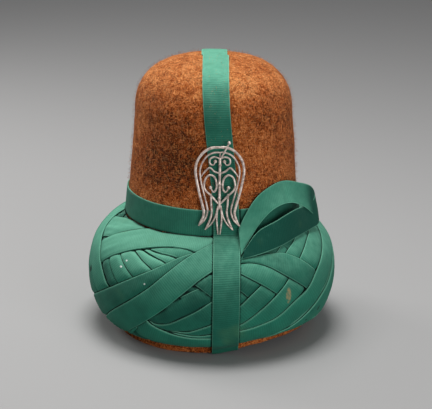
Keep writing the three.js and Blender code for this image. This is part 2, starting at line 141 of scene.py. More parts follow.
def fromFront(azimuth):
    # the same azimuth, between -180 and 180
    return (np.asarray(azimuth, float) + 540) % 360 - 180


def rimHeight(azimuth):
    azimuth = fromFront(azimuth)
    rows = np.array(capSize["rimLift"], float)
    i = np.clip(np.searchsorted(rows[:, 0], azimuth), 1, len(rows) - 1)
    eased = smoothStep(azimuth, rows[i - 1, 0], rows[i, 0])
    return capSize["rimRise"] * (rows[i - 1, 1] + (rows[i, 1] - rows[i - 1, 1]) * eased)


def place(azimuth, radius, height):
    # a point round the hat's middle, raised with the rim
    azimuth, radius, height = np.broadcast_arrays(azimuth, radius, height)
    lifted = height + rimHeight(azimuth) * np.clip(1 - np.maximum(height, 0) / wrapSize["height"], 0, 1)
    turn = np.radians(azimuth)
    return np.stack([radius * np.sin(turn), -radius * np.cos(turn), lifted], axis=-1)


def capRadius(height):
    drop = capSize["rimRadius"] - capSize["shoulderRadius"]
    return capSize["rimRadius"] - drop * np.maximum(height, 0) / capSize["shoulderHeight"]


def capProfile(offset, wallRows, domeRows):
    # half section of the cap from its rim to the middle of its crown
    heights = np.linspace(0, capSize["shoulderHeight"], wallRows, endpoint=False)
    wall = np.stack([capRadius(heights) + offset, heights], axis=-1)
    turn = np.linspace(0, math.pi / 2, 400)
    dome = np.stack([
        (capSize["shoulderRadius"] + offset) * np.clip(np.cos(turn), 0, 1) ** (2 / capSize["roundness"]),
        capSize["shoulderHeight"] + (capSize["crownHeight"] - capSize["shoulderHeight"] + offset)
        * np.sin(turn) ** (2 / capSize["squareness"]),
    ], axis=-1)
    dome[-1, 0] = 0
    return np.vstack([wall, evenly(dome, domeRows)])


# the chart of the wound ring: azimuth, and share of the outline from its top edge
outlineLine = throughPoints([(capRadius(up * wrapSize["height"]) + out * wrapSize["bulge"],
                              up * wrapSize["height"]) for up, out in wrapSize["outline"]],
                            40, power=0, mirrorEnds=False)
outlineRun = lengthsAlong(outlineLine)
wrapLength = outlineRun[-1]
outlineShare = outlineRun / wrapLength
heart = np.array([capSize["rimRadius"] + wrapSize["heartOut"], wrapSize["height"] / 2])


def ringRadius(share):
    return np.interp(share, outlineShare, outlineLine[:, 0])


def ringHeight(share):
    return np.interp(share, outlineShare, outlineLine[:, 1])


def wrapPoint(azimuth, share, lift):
    # a point on the ring, lifted straight away from the heart of its section
    radius = ringRadius(share)
    height = ringHeight(share) + wrapSize["footRise"] * smoothStep(share, wrapSize["footFrom"], 1)
    outX, outZ = radius - heart[0], height - heart[1]
    far = np.hypot(outX, outZ)
    radius = radius + outX / far * lift
    height = height + outZ / far * lift
    shoulder = np.sin(math.pi * np.clip(height / wrapSize["height"], 0, 1)) ** 2
    upper = smoothStep(height, wrapSize["height"] / 2, wrapSize["height"])
    lean = wrapSize["lean"] * shoulder * upper * np.sin(np.radians(azimuth))
    return place(azimuth, radius + lean, height)


chart = {"turnStep": 0.4, "runStep": 1.0, "ringMiddle": 118.0, "nearCells": 6}
turnCells = int(360 / chart["turnStep"])
runCells = int(wrapLength / chart["runStep"]) + 2
cellSizes = (math.radians(chart["turnStep"]) * chart["ringMiddle"], chart["runStep"])


def readChart(field, azimuth, share):
    x = (np.asarray(azimuth) % 360) / chart["turnStep"]
    y = np.clip(np.asarray(share) * wrapLength / chart["runStep"], 0, runCells - 1.001)
    x0 = np.floor(x).astype(int)
    y0 = np.floor(y).astype(int)
    fx, fy = x - x0, y - y0
    a, b = x0 % turnCells, (x0 + 1) % turnCells
    return ((field[a, y0] * (1 - fx) + field[b, y0] * fx) * (1 - fy)
            + (field[a, y0 + 1] * (1 - fx) + field[b, y0 + 1] * fx) * fy)


def shifted(field, step, axis):
    # the chart closes round the ring, and its edge rows go on past the band and the foot
    if axis == 0:
        return np.roll(field, step, 0)
    pad = abs(step)
    grown = np.pad(field, ((0, 0), (pad, pad)), mode="edge")
    return grown[:, pad + step:pad + step + field.shape[1]]


def blurChart(field, spread):
    for axis, cell in enumerate(cellSizes):
        sigma = spread / cell
        reach = int(math.ceil(sigma * 2.5))
        steps = np.arange(-reach, reach + 1)
        weights = np.exp(-0.5 * (steps / sigma) ** 2)
        weights /= weights.sum()
        field = sum(weight * shifted(field, step, axis) for step, weight in zip(steps, weights))
    return field


def growChart(field, reach):
    for axis, cell in enumerate(cellSizes):
        steps = int(round(reach / cell))
        field = np.max([shifted(field, step, axis) for step in range(-steps, steps + 1)], axis=0)
    return field


# the tapes, from the innermost to the outermost
# edge points are (azimuth, share); side 1 lays the tape below or left of its edge, -1 above or right;
# reach carries both ends on in millimetres, under the band, the foot or a later tape
def tapeRow(name, node, side, tone, reach, edge, **more):
    return {"name": name, "node": node, "side": side, "tone": tone, "reach": reach, "edge": edge, **more}


def turned(edge, by):
    return [(azimuth + by, share) for azimuth, share in edge]


def familyRows(family):
    # the listed tapes, each after an unlisted one halfway to the next where the family has those
    rows = []
    for i in range(family["count"]):
        at = family["first"] + family["turn"] * i
        if family["between"]:
            rows.append(tapeRow(family["name"] + "between_" + str(i + 1), None, 1, -0.08, family["reach"],
                                turned(family["edge"], at + family["turn"] / 2)))
        rows.append(tapeRow(family["name"] + "tape_" + str(i + 1), family["name"] + str(i + 1), 1, 0.08,
                            family["reach"], turned(family["edge"], at)))
    return rows


rising = [(-40, 0.91), (-28, 0.8), (-12, 0.62), (2, 0.47), (17, 0.34), (34, 0.21), (47, 0.11)]
rightFamily = {"name": "back_sweep_right_", "first": 77, "turn": 28.6, "count": 5, "between": False,
               "reach": (25, 25), "edge": rising}
leftFamily = {
    "name": "back_sweep_left_", "first": -114, "turn": -28, "count": 6, "between": True, "reach": (25, 25),
    "edge": [(0, 0.04), (4, 0.16), (10, 0.25), (16, 0.32), (25, 0.44), (31, 0.53), (38, 0.64), (45, 0.76),
             (54, 0.9)],
}
innerTurns = {"count": 24, "reach": (20, 20), "edge": [(-40, 0.95)] + rising[1:-1] + [(47, 0.08)]}
innerRows = [tapeRow("inner", None, 1, -0.3, innerTurns["reach"],
                     turned(innerTurns["edge"], 360 / innerTurns["count"] * i), coarse=True)
             for i in range(innerTurns["count"])]
frontRows = [
    tapeRow("left_side_filler", None, 1, 0.0, (25, 25), turned(leftFamily["edge"], -100)),
    tapeRow("fan_strip_under", None, -1, -0.15, (6, 8),
            [(-66, 0.33), (-61, 0.42), (-55, 0.5), (-50, 0.57)]),
    tapeRow("fan_strip_first", "fan_strip_1", -1, 0.35, (10, 8),
            [(-59, 0.29), (-57, 0.33), (-52, 0.41), (-49, 0.45), (-45, 0.5)]),
    tapeRow("fan_strip_second", "fan_strip_2", -1, 0.55, (8, 6),
            [(-55, 0.21), (-50, 0.27), (-44, 0.335), (-38, 0.39), (-33, 0.43)]),
    tapeRow("fan_strip_third", "fan_strip_3", -1, 0.6, (8, 6),
            [(-47, 0.165), (-40, 0.22), (-35, 0.26), (-29, 0.3), (-22, 0.35)]),
    tapeRow("fan_strip_fourth", "fan_strip_4", -1, 0.5, (6, 4),
            [(-42, 0.15), (-34, 0.19), (-28, 0.215), (-22, 0.24), (-14, 0.28)]),
    tapeRow("fan_strip_last", None, -1, 0.1, (4, 4),
            [(-37, 0.145), (-29, 0.17), (-22, 0.18), (-16, 0.19), (-8, 0.22)]),
    tapeRow("knot_strip_left", None, -1, -0.25, (10, 4), [(-12, 0.33), (-6, 0.39), (0, 0.46), (6, 0.53)]),
    tapeRow("bowl_strip_upper", "bowl_strip_1", 1, -0.1, (4, 6),
            [(-40, 0.66), (-32, 0.7), (-27, 0.72), (-20, 0.7), (-13, 0.64), (-6, 0.57), (1, 0.49),
             (8, 0.42), (13, 0.37), (24, 0.27), (38, 0.16)]),
    tapeRow("knot_strip_right", None, -1, -0.2, (6, 4), [(5, 0.35), (13, 0.43), (17, 0.49), (23, 0.56)]),
    tapeRow("sash_upper", "sash_high", -1, 0.45, (4, 10),
            [(-88, 0.3), (-80, 0.255), (-66, 0.19), (-50, 0.13), (-34, 0.08)], folds=0.7),
    tapeRow("sash_lower", "sash_low", -1, 0.5, (24, 8),
            [(-64, 0.39), (-51, 0.26), (-37, 0.162), (-24, 0.116), (-8, 0.12), (0, 0.13)], folds=0.35),
    tapeRow("bowl_strip_middle", "bowl_strip_2", 1, 0.0, (8, 20),
            [(-26, 0.775), (-20, 0.78), (-13, 0.77), (-6, 0.73), (1, 0.68), (7, 0.62), (13, 0.55),
             (17, 0.49), (23, 0.41), (32, 0.3), (41, 0.2), (52, 0.13)]),
    tapeRow("cross_right_lower", "cross_right_low", -1, 0.05, (6, 10),
            [(7, 0.245), (14, 0.31), (23, 0.4), (31, 0.5), (37, 0.58)]),
    tapeRow("bowl_strip_lower", "bowl_strip_3", 1, 0.05, (8, 20),
            [(-20, 0.785), (-14, 0.79), (-6, 0.8), (1, 0.78), (8, 0.75), (14, 0.71), (23, 0.61),
             (31, 0.5), (38, 0.4), (47, 0.28), (58, 0.19), (67, 0.14)]),
    tapeRow("cross_right_upper", "cross_right_high", -1, -0.1, (0, 0),
            [(9, 0.2), (15, 0.205), (21, 0.2), (29, 0.185), (38, 0.2), (45, 0.26), (54, 0.385), (62, 0.5)],
            other=[(9, 0.212), (15, 0.222), (22, 0.24), (28, 0.28), (35, 0.36), (42, 0.445), (49, 0.53),
                   (56, 0.61)]),
    tapeRow("sweep_right_outer", "sweep_right", 1, 0.1, (24, 30),
            [(-32, 0.7), (-25, 0.75), (-18, 0.79), (-11, 0.81), (-4, 0.82), (1, 0.82), (8, 0.8),
             (14, 0.77), (22, 0.75), (31, 0.7), (41, 0.6), (49, 0.53), (56, 0.43), (65, 0.33), (72, 0.27),
             (80, 0.2), (85, 0.16), (93, 0.07)]),
    tapeRow("sweep_left_outer", "sweep_left", 1, 0.3, (14, 10),
            [(-90, 0.01), (-85.5, 0.13), (-79, 0.22), (-70, 0.31), (-65, 0.39), (-60, 0.46), (-55, 0.54),
             (-48, 0.64), (-41, 0.75)]),
    tapeRow("cross_left_lower", "cross_left_low", 1, -0.1, (60, 12),
            [(-95, 0.84), (-85, 0.775), (-73, 0.7), (-55, 0.55), (-38, 0.395), (-29, 0.31), (-21, 0.235),
             (-13, 0.165), (-6, 0.12), (2, 0.07)]),
    tapeRow("cross_left_upper", "cross_left_high", 1, 0.05, (40, 10),
            [(-66, 0.85), (-57, 0.765), (-49, 0.68), (-37, 0.545), (-28, 0.425), (-20, 0.3), (-12.5, 0.19),
             (-3, 0.088), (4, 0.03)]),
]
allRows = innerRows + familyRows(leftFamily) + familyRows(rightFamily) + frontRows
# millimetres between the rows of a tape's grid, its columns, and how much finer it is charted
grids = {"fine": {"step": 1.6, "columns": 24, "times": 3},
         "coarse": {"step": 3.5, "columns": 9, "times": 6}}
# how a tape wanders off its edge, and the least width of its ends and of any row
wander = {"bumps": (22, 5, 0.45), "rowApart": 7.3, "leastEnd": 1.2, "leastRow": 0.4}


def edgeLine(edge, reach):
    # the edge in flat millimetres, carried straight on at both ends
    line = throughPoints([(math.radians(a) * chart["ringMiddle"], s * wrapLength) for a, s in edge])
    head = [line[:1] + unit(line[0] - line[1]) * reach[0]] if reach[0] else []
    tail = [line[-1:] + unit(line[-1] - line[-2]) * reach[1]] if reach[1] else []
    return np.vstack(head + [line] + tail)


def chartPoints(line):
    return np.degrees(line[:, 0] / chart["ringMiddle"]), line[:, 1] / wrapLength


def betweenEdges(guide, other, columns):
    azimuth, share = chartPoints(guide)
    otherAzimuth, otherShare = chartPoints(evenly(edgeLine(other, (0, 0)), len(guide)))
    mix = np.linspace(0, 1, columns)[None, :]
    turns = azimuth[:, None] * (1 - mix) + otherAzimuth[:, None] * mix
    shares = share[:, None] * (1 - mix) + otherShare[:, None] * mix
    return turns, shares, np.broadcast_to(mix * tapeSize["width"], turns.shape).copy()


def besideEdge(guide, side, wobble, columns):
    # the tape laid square off its edge, cut off at the band and at the foot
    azimuth, share = chartPoints(guide)
    run = np.stack([np.gradient(guide[:, 0]) / chart["ringMiddle"] * ringRadius(share),
                    np.gradient(guide[:, 1])], axis=-1)
    for _ in range(3):
        run[1:-1] = (run[:-2] + run[1:-1] * 2 + run[2:]) / 4
    run = unit(run)
    normal = np.stack([-run[:, 1], run[:, 0]], axis=-1) * side
    slope = normal[:, 1] / wrapLength
    steep = np.where(np.abs(slope) > 1e-6, slope, np.nan)
    ends = np.sort([-share / steep, (1 - share) / steep], axis=0)
    low = np.fmax(0, ends[0])
    high = np.fmin(tapeSize["width"], ends[1])
    high = np.where(np.isnan(steep) & ((share < 0) | (share > 1)), low - 1, high)
    keep = np.flatnonzero(high - low > wander["leastEnd"])
    keep = np.arange(keep[0], keep[-1] + 1)
    low, high = np.minimum(low, high - wander["leastRow"])[keep], high[keep]
    azimuth, share, normal, wobble = azimuth[keep], share[keep], normal[keep], wobble[keep]
    across = low[:, None] + (high - low)[:, None] * np.linspace(0, 1, columns)[None, :]
    turns = np.zeros_like(across)
    walk = azimuth.copy()
    before = np.zeros(len(keep))
    for k in range(columns):
        middle = share + normal[:, 1] * (across[:, k] + before) / 2 / wrapLength
        walk = walk + np.degrees(normal[:, 0] * (across[:, k] - before) / ringRadius(middle))
        before = across[:, k]
        turns[:, k] = walk
    shares = share[:, None] + normal[:, 1:] * across / wrapLength
    shares = np.clip(shares + (normal[:, 1] * wobble)[:, None] / wrapLength, 0, 1)
    return turns + np.degrees(normal[:, 0] * wobble / chart["ringMiddle"])[:, None], shares, across


def spreadTape(row, number):
    # azimuth, share and distance across the tape for a grid of points on it
    grid = grids["coarse" if row.get("coarse") else "fine"]
    guide = edgeLine(row["edge"], row["reach"])
    guide = evenly(guide, max(6, int(lengthsAlong(guide)[-1] / grid["step"])))
    if "other" in row:
        turns, shares, across = betweenEdges(guide, row["other"], grid["columns"])
    else:
        at = np.arange(len(guide)) * grid["step"]
        spots = np.stack([at, at * 0 + number * wander["rowApart"], at * 0], axis=-1)
        wobble = relief(spots, wander["bumps"])
        turns, shares, across = besideEdge(guide, row["side"], wobble, grid["columns"])
    along = np.broadcast_to((np.arange(len(turns)) * grid["step"])[:, None], turns.shape).copy()
    return {"row": row, "times": grid["times"], "azimuth": turns, "share": shares, "across": across,
            "along": along}


def cellsOf(azimuth, share):
    x = np.round((azimuth % 360) / chart["turnStep"]).astype(int) % turnCells
    y = np.clip(np.round(share * wrapLength / chart["runStep"]).astype(int), 0, runCells - 1)
    return x, y


def finer(grid, times):
    for _ in range(2):
        at = np.linspace(0, len(grid) - 1, (len(grid) - 1) * times + 1)
        low = np.clip(np.floor(at).astype(int), 0, len(grid) - 2)
        grid = (grid[low] + (grid[low + 1] - grid[low]) * (at - low)[:, None]).T
    return grid


def edgeDistance(azimuth, share, field):
    # writes the distance to the outline of a grid into the chart, near it
    azimuth, share = finer(azimuth, 2), finer(share, 2)
    x, y = [np.concatenate([grid[:, 0], grid[:, -1], grid[0], grid[-1]]) for grid in (azimuth, share)]
    x = (x % 360) / chart["turnStep"]
    y = y * wrapLength / chart["runStep"]
    x0, y0 = np.round(x).astype(int), np.round(y).astype(int)
    steps = range(-chart["nearCells"], chart["nearCells"] + 1)
    for i in steps:
        for j in steps:
            cellX, cellY = x0 + i, np.clip(y0 + j, 0, runCells - 1)
            away = np.hypot((cellX - x) * cellSizes[0], (cellY - y) * cellSizes[1])
            np.minimum.at(field, (cellX % turnCells, cellY), away)


# the ring is wound tight, so the uppermost tape lies on its outline and presses the others in
# the press also sets the reach and strength of the painted crease shade along later tapes' edges and under
# the band
press = {"reach": 1.6, "soften": 1.5, "dip": 0.85, "dipWidth": 1.0, "creaseShadeReach": 1.35, "crown": 0.3,
         "round": 0.4, "underBand": 0.5, "bandReach": 2.0, "bandShadeStrength": 0.8,
         "uneven": [(34, 11, 0.6), (13, 12, 0.15)], "folds": (4.2, 13, 1), "foldLong": 9,
         "strapRows": 60, "strapColumns": 15, "far": 50.0, "paddingSoften": 8}
depthChart = np.zeros((turnCells, runCells))
edgeField = np.full((turnCells, runCells), press["far"])
for centre, facing in ((tapeSize["strapCentre"], 0), (0, 180)):
    strapShares = np.linspace(0, 1, press["strapRows"])[:, None] + np.zeros((1, press["strapColumns"]))
    strapAcross = centre + np.linspace(-0.5, 0.5, press["strapColumns"])[None, :] * tapeSize["width"]
    strapTurns = facing + np.degrees(np.arcsin(strapAcross / ringRadius(strapShares)))
    edgeDistance(strapTurns, strapShares, edgeField)
tapes = [spreadTape(row, number) for number, row in enumerate(allRows)]
for tape in reversed(tapes):
    azimuth, share, across, times = tape["azimuth"], tape["share"], tape["across"], tape["times"]
    pressed = np.maximum(blurChart(growChart(depthChart, press["reach"]), press["soften"]), 0)
    depth = readChart(pressed, azimuth, share)
    away = readChart(edgeField, azimuth, share)
    crown = press["crown"] * (1 - np.abs(2 * across / tapeSize["width"] - 1) ** 3)
    fromEdge = np.minimum(across, tapeSize["width"] - across)
    rounded = press["round"] * nearness(fromEdge, tapeSize["edgeRound"])
    dip = press["dip"] * nearness(away, press["dipWidth"])
    underBand = nearness(share * wrapLength, press["bandReach"])
    turn = np.radians(azimuth)
    flat = np.stack([np.sin(turn) * chart["ringMiddle"], np.cos(turn) * chart["ringMiddle"],
                     share * wrapLength], -1)
    uneven = relief(flat, *press["uneven"])
    streaks = np.stack([tape["along"] / press["foldLong"], across, across * 0], -1)
    folds = tape["row"].get("folds", 0) * relief(streaks, press["folds"])
    tape["lift"] = crown - rounded - depth - dip - underBand * press["underBand"] + uneven + folds
    # painted shade: the tape is darkened near the edges of tapes laid over it and under the band, where
    # shade falls
    tape["paintedCreaseShade"] = np.maximum(nearness(away, press["creaseShadeReach"]), underBand * press["bandShadeStrength"])
    cells = cellsOf(finer(azimuth, times), finer(share, times))
    np.maximum.at(depthChart, cells, finer(depth, times) + tapeSize["thickness"] + tapeSize["gap"])
    edgeDistance(azimuth, share, edgeField)
wound = blurChart(depthChart, press["paddingSoften"])
print("wound", len(tapes), "tapes, deepest", round(float(depthChart.max()), 1), "mm")


# meshes
def linked(made):
    bpy.context.scene.collection.objects.link(made)
    return made


def meshObject(name, points, faces, uv=None, values=None, sharp=35):
    mesh = bpy.data.meshes.new(name)
    mesh.from_pydata((np.asarray(points) * mm).tolist(), [], faces)
    if uv is not None:
        layer = mesh.uv_layers.new(name="UVMap")
        corner = np.zeros(len(mesh.loops), int)
        mesh.loops.foreach_get("vertex_index", corner)
        layer.data.foreach_set("uv", np.asarray(uv, np.float32)[corner].ravel())
    for key, field in (values or {}).items():
        attribute = mesh.attributes.new(key, "FLOAT", "POINT")
        attribute.data.foreach_set("value", np.asarray(field, np.float32).ravel())
    mesh.validate()
    mesh.update()
    if signedVolume(mesh) < 0:
        mesh.flip_normals()
    mesh.shade_smooth()
    mesh.set_sharp_from_angle(angle=math.radians(sharp))
    return linked(bpy.data.objects.new(name, mesh))


def signedVolume(mesh):
    mesh.calc_loop_triangles()
    corners = np.zeros(len(mesh.loop_triangles) * 3, int)
    mesh.loop_triangles.foreach_get("vertices", corners)
    spots = np.zeros(len(mesh.vertices) * 3)
    mesh.vertices.foreach_get("co", spots)
    a, b, c = np.moveaxis(spots.reshape(-1, 3)[corners].reshape(-1, 3, 3), 1, 0)
    return float(np.einsum("ij,ij->i", a, np.cross(b, c)).sum())


def gridFaces(rows, columns, start=0, closed=False, tube=False):
    # closed joins the last row to the first, tube the last column to the first
    row = np.arange(rows if closed else rows - 1)[:, None]
    side = np.arange(columns if tube else columns - 1)[None, :]
    after = (side + 1) % columns
    a = start + row * columns
    b = start + ((row + 1) % rows) * columns
    return np.stack([a + side, a + after, b + after, b + side], axis=-1).reshape(-1, 4).tolist()


def joined(parts):
    # several pieces as one list of points and one of faces
    points, faces = [], []
    start = 0
    for spots, sides in parts:
        points.append(spots)
        faces += [[start + corner for corner in side] for side in sides]
        start += len(spots)
    return np.vstack(points), faces


def stripParts(outer, inner, closed):
    # strip of cloth: a fine outer face, and an inner one on some of its columns
    rows, columns = outer.shape[:2]
    under, small = rows * columns, inner.shape[1]
    faces = gridFaces(rows, columns, 0, closed)
    faces += [face[::-1] for face in gridFaces(rows, small, under, closed)]
    for i in range(rows if closed else rows - 1):
        j = (i + 1) % rows
        a, b = i * columns, j * columns
        c, d = under + i * small, under + j * small
        faces.append([a, b, d, c])
        faces.append([b + columns - 1, a + columns - 1, c + small - 1, d + small - 1])
    if not closed:
        last = under + rows * small
        faces.append(list(range(columns))[::-1] + list(range(under, under + small)))
        faces.append(list(range(under - columns, under)) + list(range(last - small, last))[::-1])
    return np.vstack([outer.reshape(-1, 3), inner.reshape(-1, 3)]), faces


def stripObject(name, strips, closed=False):
    # each strip: outer grid, inner grid, the columns that the inner one has, uv and fields of the outer one
    points, faces = joined([stripParts(outer, inner, closed) for outer, inner, picks, uv, values in strips])
    flats, fields = [], {}
    for outer, inner, picks, uv, values in strips:
        flats += [uv.reshape(-1, 2), uv[:, picks].reshape(-1, 2)]
        for key, field in values.items():
            fields.setdefault(key, []).extend([field.ravel(), field[:, picks].ravel()])
    fields = {key: np.concatenate(parts) for key, parts in fields.items()}
    return meshObject(name, points, faces, np.vstack(flats), fields)


# nodes
def joinTo(tree, value, socket):
    if isinstance(value, bpy.types.NodeSocket):
        tree.links.new(value, socket)
    else:
        socket.default_value = value


def nodeOf(tree, kind, inputs=None, **settings):
    # a new node, its inputs given by name or number as links or plain values
    node = tree.nodes.new(kind)
    for key, value in settings.items():
        setattr(node, key, value)
    for key, value in (inputs or {}).items():
        joinTo(tree, value, node.inputs[key])
    return node


def mathOf(tree, kind, a, b=0.0, c=0.0):
    return nodeOf(tree, "ShaderNodeMath", {0: a, 1: b, 2: c}, operation=kind).outputs[0]


def timesOf(tree, a, b):
    return mathOf(tree, "MULTIPLY", a, b)


def linearOf(tree, value, slope, level):
    return mathOf(tree, "MULTIPLY_ADD", value, slope, level)


def rangeOf(tree, value, low, high, newLow=0.0, newHigh=1.0, kind="SMOOTHSTEP"):
    inputs = {"Value": value, "From Min": low, "From Max": high, "To Min": newLow, "To Max": newHigh}
    return nodeOf(tree, "ShaderNodeMapRange", inputs, interpolation_type=kind).outputs[0]


def mixOf(tree, factor, a, b, kind="MIX"):
    inputs = {0: factor, 6: a, 7: b}
    return nodeOf(tree, "ShaderNodeMix", inputs, data_type="RGBA", blend_type=kind).outputs[2]


def noiseOf(tree, vector, scale, detail=3.0, rough=0.55, distortion=0.0):
    inputs = {"Vector": vector, "Scale": scale, "Detail": detail, "Roughness": rough,
              "Distortion": distortion}
    return nodeOf(tree, "ShaderNodeTexNoise", inputs).outputs["Fac"]


def attributeOf(tree, name):
    return nodeOf(tree, "ShaderNodeAttribute", attribute_name=name).outputs["Fac"]


def placeOf(tree):
    return nodeOf(tree, "ShaderNodeTexCoord").outputs["Object"]


def facingUp(tree):
    normal = nodeOf(tree, "ShaderNodeNewGeometry").outputs["Normal"]
    return nodeOf(tree, "ShaderNodeSeparateXYZ", {0: normal}).outputs[2]


def scaledVector(tree, vector, scale):
    return nodeOf(tree, "ShaderNodeMapping", {"Vector": vector, "Scale": scale}).outputs[0]


def bumpOf(tree, height, strength, distance, before=None):
    inputs = {"Height": height, "Strength": strength, "Distance": distance}
    if before is not None:
        inputs["Normal"] = before
    return nodeOf(tree, "ShaderNodeBump", inputs).outputs[0]


def markOf(tree, vector, centre, size):
    # one soft spot of that size round a place, as a share
    inputs = {"Vector": vector, "Location": [-at / wide for at, wide in zip(centre, size)],
              "Scale": [1 / (wide * mm) for wide in size]}
    spot = nodeOf(tree, "ShaderNodeMapping", inputs).outputs[0]
    away = nodeOf(tree, "ShaderNodeVectorMath", {0: spot}, operation="LENGTH").outputs["Value"]
    return rangeOf(tree, away, 1.0, 0.6)


def colourOf(red, green, blue):
    # sRGB bytes to the linear colour a shader takes
    shares = [byte / 255 for byte in (red, green, blue)]
    linear = [share / 12.92 if share <= 0.04045 else ((share + 0.055) / 1.055) ** 2.4 for share in shares]
    return (*linear, 1.0)


def newMaterial(name, inputs):
    material = bpy.data.materials.new(name)
    material.use_nodes = True
    tree = material.node_tree
    tree.nodes.clear()
    shader = nodeOf(tree, "ShaderNodeBsdfPrincipled", inputs)
    nodeOf(tree, "ShaderNodeOutputMaterial", {0: shader.outputs[0]})
    return material, tree, shader.inputs


# materials
# centre and reach in millimetres, strength, colour: a tan stain, white lint, and painted shade in dark
# nicks
tapeMarks = [
    ((73, -98.5, 63.5), (3.6, 4.0, 9.0), 0.75, "tan"),
    ((-80.9, -82.6, 90.7), (1.3, 1.3, 1.1), 1.0, "lint"),
    ((-86.3, -81.2, 84), (1.8, 1.8, 1.1), 1.0, "lint"),
    ((-63, -103.5, 75), (1.1, 1.1, 1.1), 0.8, "lint"),
    ((3, -74.5, 247), (1.2, 1.2, 1.2), 0.8, "lint"),
    ((-119, -29.5, 63), (3.0, 2.6, 5.0), 0.95, "creviceShade"),
    ((105, -55, 34), (2.2, 2.2, 4.0), 0.9, "creviceShade"),
    ((92.5, -68.5, 27), (1.8, 1.8, 1.4), 0.9, "creviceShade"),
    ((-29.5, -118.6, 66.5), (1.5, 2.5, 1.6), 0.9, "creviceShade"),
]


def cottonTape():
    look = {
        "deep": colourOf(12, 70, 58),
        "mid": colourOf(38, 120, 98),
        "fadedAndLit": colourOf(120, 190, 163),
        "creviceShade": colourOf(2, 18, 15),
        "olive": colourOf(92, 122, 76),
        "tan": colourOf(158, 138, 98),
        "lint": colourOf(236, 244, 240),
        "ribPitch": 2.1,
        "threadPitch": 0.7,
        "selvedgeWearAndHighlight": (0.95, 0.35),
    }
    material, tree, sockets = newMaterial("cottonTape", {
        "Roughness": 0.86, "Sheen Weight": 0.06, "Sheen Roughness": 0.5,
        "Sheen Tint": colourOf(190, 225, 210), "Specular IOR Level": 0.15})
    place3d = placeOf(tree)
    flat = nodeOf(tree, "ShaderNodeUVMap").outputs[0]
    along, across = nodeOf(tree, "ShaderNodeSeparateXYZ", {0: flat}).outputs[:2]
    broad = noiseOf(tree, place3d, 42, 4)
    patch = noiseOf(tree, place3d, 130, 4, 0.6)
    tone = attributeOf(tree, "tone")
    level = linearOf(tree, tone, 0.55, linearOf(tree, broad, 0.4, 0.1))
    colour = mixOf(tree, rangeOf(tree, level, 0.0, 0.55), look["deep"], look["mid"])
    # upward-facing cloth is mixed toward the pale colour: partly dust and fading, partly painted light from
    # above
    dustAndTopLight = rangeOf(tree, facingUp(tree), -0.25, 0.95)
    worn = rangeOf(tree, linearOf(tree, tone, 0.5, linearOf(tree, patch, 0.45, 0.28)), 0.1, 0.95)
    colour = mixOf(tree, timesOf(tree, timesOf(tree, dustAndTopLight, worn), 0.8), colour, look["fadedAndLit"])
    yellow = rangeOf(tree, noiseOf(tree, place3d, 24, 2), 0.62, 0.78)
    colour = mixOf(tree, timesOf(tree, yellow, 0.22), colour, look["olive"])
    rib = mathOf(tree, "SINE", timesOf(tree, along, 2 * math.pi / look["ribPitch"]))
    thread = mathOf(tree, "SINE", timesOf(tree, across, 2 * math.pi / look["threadPitch"]))
    grain = noiseOf(tree, scaledVector(tree, flat, (1.3, 0.9, 1.0)), 1.0, 4, 0.75)
    weave = linearOf(tree, grain, 3.6, linearOf(tree, thread, 0.35, rib))
    light = rangeOf(tree, weave, -0.6, 4.2, 0.8, 1.2, "LINEAR")
    colour = mixOf(tree, 1.0, colour, light, "MULTIPLY")
    # tape edges are lightened: partly worn selvedge, partly a painted highlight that is stronger on
    # upward-facing edges
    half = tapeSize["width"] / 2
    fromMiddle = mathOf(tree, "ABSOLUTE", mathOf(tree, "SUBTRACT", across, half))
    selvedgeWearAndHighlight = rangeOf(tree, fromMiddle, half - look["selvedgeWearAndHighlight"][0], half - look["selvedgeWearAndHighlight"][1])
    colour = mixOf(tree, timesOf(tree, selvedgeWearAndHighlight, linearOf(tree, dustAndTopLight, 0.5, 0.2)), colour, look["fadedAndLit"])
    # painted shade: the cloth is mixed toward near black along crevices between tapes, under the band,
    # beside the strap and in its fold
    dark = rangeOf(tree, attributeOf(tree, "paintedCreaseShade"), 0.2, 0.85)
    colour = mixOf(tree, timesOf(tree, dark, 0.95), colour, look["creviceShade"])
    for centre, size, share, shade in tapeMarks:
        spot = markOf(tree, place3d, centre, size)
        if shade == "tan":
            spot = timesOf(tree, spot, rangeOf(tree, patch, 0.36, 0.54))
        colour = mixOf(tree, timesOf(tree, spot, share), colour, look[shade])
    fine = bumpOf(tree, weave, 0.3, 0.0002)
    soft = bumpOf(tree, noiseOf(tree, place3d, 210, 3), 0.2, 0.0005, fine)
    tree.links.new(colour, sockets["Base Color"])
    tree.links.new(soft, sockets["Normal"])
    return material


